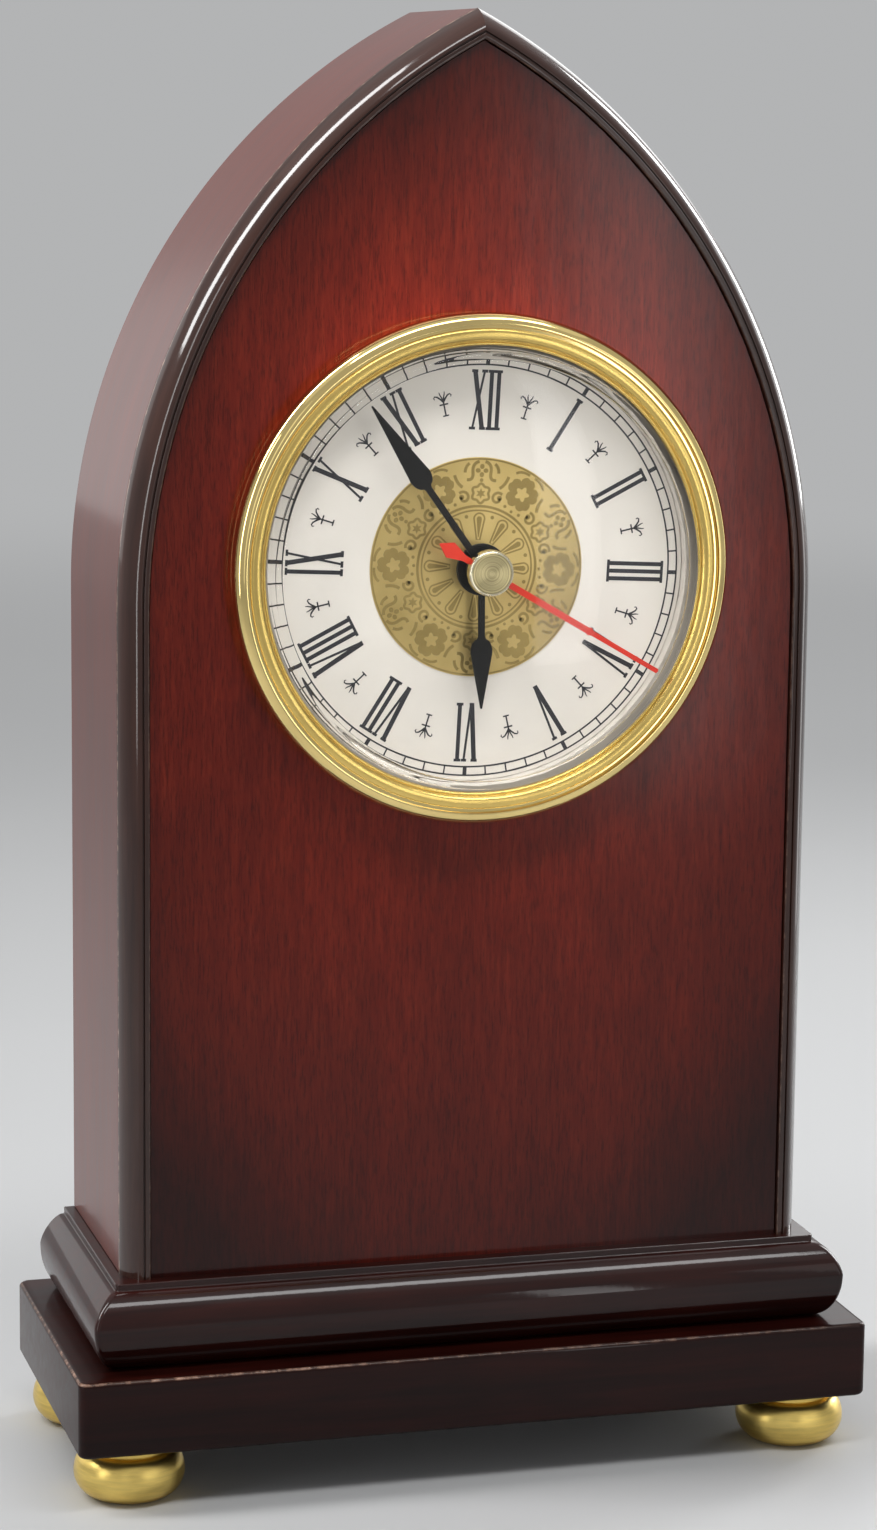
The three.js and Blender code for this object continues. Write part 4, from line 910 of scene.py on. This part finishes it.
def bend(*points):
    """Points along joined bends: a start, then a pull and an end for each bend."""
    steps = 8
    path = [points[0]]
    for pull, end in zip(points[1::2], points[2::2]):
        start = path[-1]
        for i in range(1, steps + 1):
            t = i / steps
            shares = ((1 - t) ** 2, 2 * t * (1 - t), t * t)
            path.append(tuple(sum(s * p for s, p in zip(shares, pair)) for pair in zip(start, pull, end)))
    return path


def blossom(v, petals, reach, size):
    """Separate round petals about a bare middle."""
    shapes = []
    for i in range(petals):
        angle = pi / 2 + 2 * pi * i / petals
        shapes.append(disc(reach * cos(angle), v + reach * sin(angle), size, 18, 0.88, angle))
    return shapes


def lobed(v, lobes, reach, hole):
    """A flower of joined petals, each dented at its end, about a star-shaped opening."""
    steps = 16
    sides = []
    for i in range(steps * lobes):
        angle = 2 * pi * i / (steps * lobes)
        off = ((i + steps // 2) % steps) / (steps / 2) - 1.0
        swell = 0.72 + 0.28 * cos(off * pi / 2) ** 0.6 - 0.09 * exp(-((off / 0.2) ** 2))
        spread = hole * (1.0 + 0.24 * cos(lobes * angle))
        sides.append([(r * sin(angle), v + r * cos(angle)) for r in (reach * swell, spread)])
    return [[a[0], b[0], b[1], a[1]] for a, b in zip(sides, sides[1:] + sides[:1])]


def star(v, points, outer, inner):
    shape = []
    for i in range(2 * points):
        angle = pi / 2 + pi * i / points
        radius = inner if i % 2 else outer
        shape.append((radius * cos(angle), v + radius * sin(angle)))
    return [shape]


def twin_leaves(width, *points):
    """A bent line and its mirror image."""
    path = bend(*points)
    return ribbon(path, width) + ribbon([(-u, v) for u, v in path], width)


def flower():
    shapes = lobed(15.2, 5, 3.15, 1.1) + [disc(0.0, 11.55, 0.28, 10)]
    shapes += twin_leaves(0.46, (0.55, 18.75), (2.2, 18.8), (2.95, 17.75))
    shapes += twin_leaves(0.56, (3.75, 16.5), (3.45, 14.9), (4.1, 13.9))
    for side in (-1, 1):
        shapes += scroll(side * 3.45, 12.15, 1.15, 110, -330, side, 0.5)
        shapes += [disc(side * 1.5, 11.75, 0.3, 10)]
    return shapes


def spray():
    shapes = ring_of(1.55, 0.46, 13.1, 48, 6, 0.12) + star(13.1, 6, 0.95, 0.45)
    shapes += blossom(17.15, 4, 0.72, 0.46) + [disc(0.0, 15.45, 0.34, 10)]
    shapes += twin_leaves(0.56, (0.55, 18.75), (1.9, 18.4), (1.65, 16.75), (1.45, 15.3), (2.7, 15.45))
    return shapes + twin_leaves(0.54, (2.35, 18.35), (3.1, 17.8), (3.1, 16.7))


ornament = []
for radius, line in ((10.1, 0.3), (10.85, 0.45), (19.2, 0.3)):
    ornament += turned(ring_of(radius, line), 0)
for i in range(12):
    turn = i * 30 + INSERT_TURN
    ornament += turned(ribbon(petal(4.9, 9.6, 0.6, 1.95), 0.3, closed=True), turn)
    ornament += turned([petal(5.4, 9.05, 0.2, 0.95)], turn)
    ornament += turned([disc(0.0, 9.2, 0.34, 12)], turn + 15)
for i in range(6):
    turn = i * 60 + 30 + INSERT_TURN
    ornament += turned(flower(), turn)
    ornament += turned(spray(), turn + 30)
printed("foil_ornament", ornament, FOIL_Y, GILT)


# Hands and cap, with heights above the dial

def hand_plate(points, degrees, height, thickness):
    return prism([on_dial(u, v, degrees) for u, v in points], DIAL_Y - height - thickness, DIAL_Y - height)


def two_sided(right, tip):
    """An outline from its right half and the point where the halves meet."""
    return right + [(0.0, tip)] + [(-u, v) for u, v in reversed(right)]


def spade(root, base, tip):
    right = [(0.6, root), (0.6, base - 0.5), (0.72, base - 0.12)]
    right += arc((0.75, base + 2.4), (1.25, 2.35), -84, 0, 12)
    right += [(1.9, base + 3.0), (0.15, tip - 0.1)]
    return two_sided(right, tip)


HAND_THICKNESS = 0.5
HOUR_HEIGHT = 3.2
MINUTE_HEIGHT = 5.3
SECOND_HEIGHT = 7.2
SECOND_TOP = 7.5
HUB_STEPS = 72
hour_hub = [(2.6, 2.2), (3.1, 2.2), (3.1, 2.95), (4.45, 2.95)]
hour_hub += [(4.6, 3.1), (4.6, 3.8), (4.45, 3.95), (2.6, 3.95)]
hour_plate = hand_plate(spade(3.0, 12.4, 24.9), HOUR_ANGLE, HOUR_HEIGHT, HAND_THICKNESS)
hour = join(hour_plate, dial_lathe(hour_hub, DIAL_Y, HUB_STEPS))
piece("hour_spade", hour, BLACK, "hour_hand", ["hour_hand"], bevel=0.07, segments=2)
minute_hub = [(1.7, 4.95), (3.3, 4.95), (3.4, 5.05), (3.4, 6.05), (3.25, 6.15), (1.7, 6.15)]
minute_plate = hand_plate(spade(2.4, 18.4, 35.8), MINUTE_ANGLE, MINUTE_HEIGHT, HAND_THICKNESS)
minute = join(minute_plate, dial_lathe(minute_hub, DIAL_Y, HUB_STEPS))
piece("minute_spade", minute, BLACK, "minute_hand", ["minute_hand"], bevel=0.07, segments=2)
pointer = [(0.575, 1.4), (0.575, 21.5), (0.72, 21.6), (0.72, 22.0), (0.45, 22.3), (0.42, 36.6)]
tail = [(0.575, -1.4), (0.575, -5.0), (1.5, -8.0), (0.15, -10.15)]
second_hub = [(0.6, SECOND_HEIGHT), (2.6, SECOND_HEIGHT), (2.6, SECOND_TOP), (0.6, SECOND_TOP)]
second_plates = [
    hand_plate(two_sided(half, tip), SECOND_ANGLE, SECOND_HEIGHT, SECOND_TOP - SECOND_HEIGHT)
    for half, tip in ((pointer, 36.8), (tail, -10.2))
]
second = join(*second_plates, dial_lathe(second_hub, DIAL_Y, HUB_STEPS))
piece("second_pointer", second, RED, "second_hand", ["second_hand"], bevel=0.05, segments=2)

# Cap: a polished edge round a face of turned rings
CAP_STEPS = 96
CAP_BASE = 7.5
CAP_FACE = (3.6, 9.9)
CAP_RINGS = 16
RING_START, RING_PITCH = 3.5, 0.21
RING_HIGH, RING_LOW = 9.985, 9.965
BORE_RADIUS, BORE_END = 0.6, 8.9
edge = [(CAP_FACE[0], CAP_BASE), (3.7, CAP_BASE), (4.0, 7.62), (4.1, 7.9), (4.1, 9.45), (4.0, 9.8)]
edge += [(3.8, 9.95), CAP_FACE]
edge_shape = dial_lathe(edge, DIAL_Y, CAP_STEPS)
piece("cap_rim", edge_shape, CAP_EDGE, "second_hand", ["hub_cap"], smooth=50.0)
face = [(BORE_RADIUS, CAP_BASE), (CAP_FACE[0], CAP_BASE), CAP_FACE]
for i in range(CAP_RINGS):
    radius = RING_START - i * RING_PITCH
    face += [(radius, RING_HIGH), (radius - RING_PITCH / 2, RING_LOW)]
face += [(0.0, 9.98), (0.0, BORE_END), (BORE_RADIUS, BORE_END)]
face_shape = dial_lathe(face, DIAL_Y, CAP_STEPS)
piece("cap_turned", face_shape, CAP, "second_hand", ["hub_cap"], smooth=30.0)


# Back: cell, set knob, screws and the marks moulded on the movement

def measured(node):
    """Lowest corner, highest corner and middle of a CAD node, in millimetres."""
    low, high = ([value / MM for value in corner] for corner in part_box(node))
    return low, high, [(a + b) / 2 for a, b in zip(low, high)]


# Cell, as (radius, distance from its flat end)
NUB_LENGTH = 1.2
BAND_SHARE = 0.68
CELL_STEPS, END_STEPS = 72, 64
cell_low, cell_high, cell_centre = measured("battery")
cell_start = (cell_low[0], cell_centre[1], cell_centre[2])
cell_length = cell_high[0] - cell_low[0]
cell_radius = (cell_high[2] - cell_low[2]) / 2
shoulder = cell_length - NUB_LENGTH
band_start = cell_length * BAND_SHARE
lip = [(6.2, 0.35), (6.45, 0.08), (6.85, 0.1), (7.08, 0.3), (cell_radius, 0.7)]
sleeve = lip + [(cell_radius, band_start), (6.2, band_start)]
band = [(6.2, band_start), (cell_radius, band_start)]
band += [(radius, shoulder - along) for radius, along in reversed(lip)]
minus_end = [(0.0, 0.0), (5.0, 0.0), (5.35, 0.15), (6.4, 0.2), (6.4, 1.2), (0.0, 1.2)]
plus_end = [(0.0, cell_length), (2.45, cell_length), (2.7, cell_length - 0.12)]
plus_end += [(2.75, cell_length - 0.35), (2.75, shoulder + 0.3), (2.95, shoulder)]
plus_end += [(6.4, shoulder - 0.1), (6.4, shoulder - 1.2), (0.0, shoulder - 1.2)]
cell_ends = join(lathe(minus_end, cell_start, "X", END_STEPS), lathe(plus_end, cell_start, "X", END_STEPS))
piece("cell_sleeve", lathe(sleeve, cell_start, "X", CELL_STEPS), WRAP, "battery", ["battery"])
piece("cell_band", lathe(band, cell_start, "X", CELL_STEPS), BAND, "battery", ["battery"])
piece("cell_ends", cell_ends, STEEL, "battery", ["battery"])

# Set knob: rings as (rise from its base or drop from its top, radius, depth of ribs)
KNOB_RIBS = 28
RIB_POINTS = 6
RIB_DEPTH = 0.2
KNOB_BASE = ((0.0, 4.7, 0.0), (0.15, 4.85, 0.0), (0.4, 5.45, RIB_DEPTH))
KNOB_SIDE = ((0.6, 5.45, RIB_DEPTH), (0.15, 4.8, 0.0), (0.0, 4.5, 0.0), (0.0, 4.0, 0.0))
KNOB_DISH = ((0.5, 3.6, 0.0), (0.6, 1.6, 0.0), (0.2, 1.2, 0.0), (0.1, 0.9, 0.0))
knob_low, knob_high, knob_centre = measured("set_knob")


def knob_ring(y, radius, ribs):
    ring = []
    for i in range(RIB_POINTS * KNOB_RIBS):
        angle = 2 * pi * i / (RIB_POINTS * KNOB_RIBS)
        reach = radius + ribs * (cos(KNOB_RIBS * angle) - 1)
        ring.append((knob_centre[0] + reach * cos(angle), y, knob_centre[2] + reach * sin(angle)))
    return ring


knob_rings = [knob_ring(knob_low[1] + rise, radius, ribs) for rise, radius, ribs in KNOB_BASE]
knob_rings += [knob_ring(knob_high[1] - drop, radius, ribs) for drop, radius, ribs in KNOB_SIDE + KNOB_DISH]
piece("knob_ribbed", loft(knob_rings), IVORY, "minute_wheel", ["set_knob"], smooth=32.0)

# Screws: the dome of a head as (share of its height, share of its radius)
HEAD_STEPS, STEM_STEPS = 16, 40
HEAD_DOME = ((0.45, 1.0), (0.72, 0.9), (0.92, 0.7), (1.0, 0.45))
SLOT_DEPTH = 0.55
SLOT_HALF = 0.13
POINT_LENGTH = 1.0


def half_head(centre, radius, slot, turn, y):
    """Half of a round screw head, cut back from its middle by half the slot."""
    reach = acos(slot / radius)
    points = []
    for i in range(HEAD_STEPS + 1):
        angle = -reach + 2 * reach * i / HEAD_STEPS
        x, z = spun(radius * cos(angle), radius * sin(angle), turn)
        points.append((centre[0] + x, y, centre[2] + z))
    return points


def slotted_screw(node, head, height, shank, turn):
    """A domed screw with a slot, its head at the highest y of the node that it stands for."""
    low, high, centre = measured(node)
    seat = high[1] - height
    floor = high[1] - height * SLOT_DEPTH
    stem = [(0.0, low[1]), (shank * 0.5, low[1]), (shank, low[1] + POINT_LENGTH), (shank, seat)]
    stem += [(head - 0.08, seat), (head - 0.02, floor), (0.0, floor)]
    dome = [(seat + 0.05, 0.97)] + [(seat + height * rise, share) for rise, share in HEAD_DOME]
    shapes = [lathe(stem, (centre[0], 0, centre[2]), "Y", STEM_STEPS)]
    for half_turn in (turn, turn + pi):
        rings = [half_head(centre, head * share, head * SLOT_HALF, half_turn, y) for y, share in dome]
        shapes.append(loft(rings))
    return join(*shapes)


# Names of node and piece, head radius and height, shank radius, first turn and turn between screws
SCREWS = (
    ("back_screw_", "back_screw_head_", 2.5, 1.3, 1.2, 0.5, 0.9),
    ("movement_screw_", "shell_screw_head_", 1.9, 1.2, 0.95, 1.1, 0.7),
)
for i in range(4):
    number = str(i + 1)
    for node, name, head, height, shank, first_turn, between in SCREWS:
        screw = slotted_screw(node + number, head, height, shank, first_turn + i * between)
        piece(name + number, screw, STEEL, replaces=[node + number])

# Marks on the rear shell: a raised frame, an arrow about the set knob, a plus and a minus
MARK_SINK = 0.15
MARK_RISE = 0.3
FRAME_INSET = 5.6
FRAME_LINE = 0.6
BAY_WALL = 1.2
ARROW_RADIUS = 7.4
ARROW_LINE = 0.7
ARROW_HALF = 0.9
ARROW_ENDS = (35, 145)
ARROW_POINT = 16
SIGN_INSET = 11.0
SIGN_HALF = 1.4
SIGN_LINE_HALF = 0.35
shell_low, shell_high, _ = measured("movement_rear_shell")
bay_top = cell_high[2] + BAY_WALL
frame_low = (shell_low[0] + FRAME_INSET, bay_top + FRAME_INSET)
frame_high = (shell_high[0] - FRAME_INSET, shell_high[2] - FRAME_INSET)
marks = ribbon(bar(frame_low[0], frame_high[0], frame_low[1], frame_high[1]), FRAME_LINE, closed=True)
around = (knob_centre[0], knob_centre[2])


def around_knob(radius, degrees):
    return arc(around, radius, degrees, degrees, 1)[0]


marks += ribbon(arc(around, ARROW_RADIUS, *ARROW_ENDS, 20), ARROW_LINE)
for degrees, lean in zip(ARROW_ENDS, (-1, 1)):
    inner = around_knob(ARROW_RADIUS - ARROW_HALF, degrees)
    outer = around_knob(ARROW_RADIUS + ARROW_HALF, degrees)
    marks.append([inner, outer, around_knob(ARROW_RADIUS, degrees + lean * ARROW_POINT)])
sign_z = bay_top + FRAME_INSET / 2
plus_x = shell_high[0] - SIGN_INSET
minus_x = shell_low[0] + SIGN_INSET
for x in (plus_x, minus_x):
    marks.append(bar(x - SIGN_HALF, x + SIGN_HALF, sign_z - SIGN_LINE_HALF, sign_z + SIGN_LINE_HALF))
for low in (sign_z - SIGN_HALF, sign_z + SIGN_LINE_HALF):
    high = low + SIGN_HALF - SIGN_LINE_HALF
    marks.append(bar(plus_x - SIGN_LINE_HALF, plus_x + SIGN_LINE_HALF, low, high))
mark_shapes = [prism(points, shell_high[1] - MARK_SINK, shell_high[1] + MARK_RISE) for points in marks]
piece("shell_marks", join(*mark_shapes), PLASTIC, bevel=0.08, segments=1)

# The remaining CAD nodes keep their shape and take these finishes, some with their sharp edges eased
OWN_FINISH = {"back_panel": BACK, "dial_carrier": DIAL}
EASED = {"front_panel": 0.15, "back_panel": 0.4, "movement_rear_shell": 0.35}
EASED_ANGLE = 50
record_slots = {part["node"]: part["material_slot"] for part in frame["record"]["subparts"]}
for name, node in nodes.items():
    node.data.materials.clear()
    node.data.materials.append(OWN_FINISH.get(name) or FINISHES[record_slots[name]])
    if name in EASED:
        ease(node, EASED[name], 2, EASED_ANGLE, False)

# Floor, light and camera, in metres
BACKDROP = (0.45, 0.455, 0.46)
BOUNCE = (0.15, 0.151, 0.152)
AMBIENT = (0.115, 0.117, 0.119)
FADE_NEAR, FADE_FAR = 0.35, 1.7
FLOOR_SPAN = 6.0


def floor_finish():
    """Pale matt paper that fades into the backdrop away from the clock."""
    made = Finish("floor", Specular_IOR_Level=0.25)
    cloud = made.noise(3, 2.0, 0.5)
    paper = made.ramp(cloud, (0.3, (0.54, 0.545, 0.55)), (0.7, (0.57, 0.575, 0.58)))
    made.paint(made.mix(made.seen(), BOUNCE, paper))
    made.rough(cloud, 0.5, 0.6)
    distance = made.node("VectorMath", {0: made.spot()}, operation="LENGTH").outputs["Value"]
    span = {"From Min": FADE_NEAR, "From Max": FADE_FAR, "Value": distance}
    fade = made.node("MapRange", span, interpolation_type="SMOOTHSTEP").outputs["Result"]
    glow = made.node("Emission", {"Color": BACKDROP})
    made.blend(made.maths("MULTIPLY", fade, made.seen()), glow.outputs[0])
    return made.material


scene = bpy.context.scene
scene.view_settings.view_transform = "Standard"
floor_mesh = bpy.data.meshes.new("floor")
floor_corners = [(x, y, 0.0) for x, y in bar(-FLOOR_SPAN, FLOOR_SPAN, -FLOOR_SPAN, FLOOR_SPAN)]
floor_mesh.from_pydata(floor_corners, [], [(0, 1, 2, 3)])
floor_mesh.materials.append(floor_finish())
floor = added("floor", floor_mesh)

world = bpy.data.worlds.new("studio")
world.use_nodes = True
sky = Graph(world.node_tree)
sky.put(sky.tree.nodes["Background"].inputs["Color"], sky.mix(sky.seen(), AMBIENT, BACKDROP))
scene.world = world


def lamp(name, place, target, size, power, spread=180.0):
    light = bpy.data.lights.new(name, "AREA")
    light.spread = radians(spread)
    light.shape = "RECTANGLE"
    light.size, light.size_y = size
    light.energy = power
    made = added(name, light)
    made.location = place
    made.rotation_euler = (Vector(target) - Vector(place)).to_track_quat("-Z", "Y").to_euler()
    made.visible_camera = False


lamp("key", (0.1, -0.5, 1.2), (0, 0, 0.16), (1.1, 0.2), 6.8)
lamp("left_front", (-0.33, -0.72, 0.3), (0, 0, 0.16), (0.12, 0.5), 0.04, 110)
lamp("right_front", (0.5, -0.6, 0.3), (0, 0, 0.16), (0.2, 0.5), 0.1, 110)
lamp("left_strip", (-0.5, -0.2, 0.28), (0, 0, 0.2), (0.05, 0.46), 0.17, 110)
lamp("right_low", (0.5, 0.12, 0.2), (0, 0, 0.18), (0.1, 0.4), 0.09, 110)
lamp("right_strip", (0.72, 0.44, 0.44), (0, 0, 0.22), (0.16, 0.6), 1.8, 120)
lamp("crown", (-0.64, 0.11, 0.86), (0, 0, 0.22), (0.16, 0.75), 3.0, 120)
lamp("strip", (0.235, -0.62, 0.19), (0.02, 0, 0.18), (0.05, 0.34), 0.07, 110)
lamp("behind_left", (-0.55, 0.85, 0.36), (0, 0, 0.16), (0.8, 0.5), 0.85)
lamp("behind_right", (0.5, 0.95, 0.6), (0, 0, 0.16), (0.5, 0.5), 1.4)
lamp("top", (0.0, 0.3, 3.0), (0, 0.3, 0), (5.0, 5.0), 17.0)

# The camera fitted to the photo: angles in degrees, focal length in pixels, sensor in millimetres
AZIMUTH, ELEVATION, ROLL = -15.773, 9.747, 0.617
DISTANCE, FOCAL = 0.718959, 3917.657
IMAGE_HEIGHT = 1530
SENSOR = 36.0
TARGET = Vector((-0.000821, 0.0, 0.126781))
azimuth, elevation, roll = (radians(a) for a in (AZIMUTH, ELEVATION, ROLL))
level = cos(elevation)
toward = Vector((sin(azimuth) * level, -cos(azimuth) * level, sin(elevation)))
right = (-toward).cross(Vector((0, 0, 1))).normalized()
up = right.cross(-toward)
rolled = right * cos(roll) + up * sin(roll)
risen = up * cos(roll) - right * sin(roll)
camera_data = bpy.data.cameras.new("camera")
camera_data.sensor_fit = "VERTICAL"
camera_data.sensor_height = SENSOR
camera_data.lens = FOCAL / IMAGE_HEIGHT * SENSOR
camera_data.clip_start = 0.01
camera = added("camera", camera_data)
turn = Matrix((rolled, risen, toward)).transposed()
camera.matrix_world = Matrix.Translation(TARGET + toward * DISTANCE) @ turn.to_4x4()
scene.camera = camera
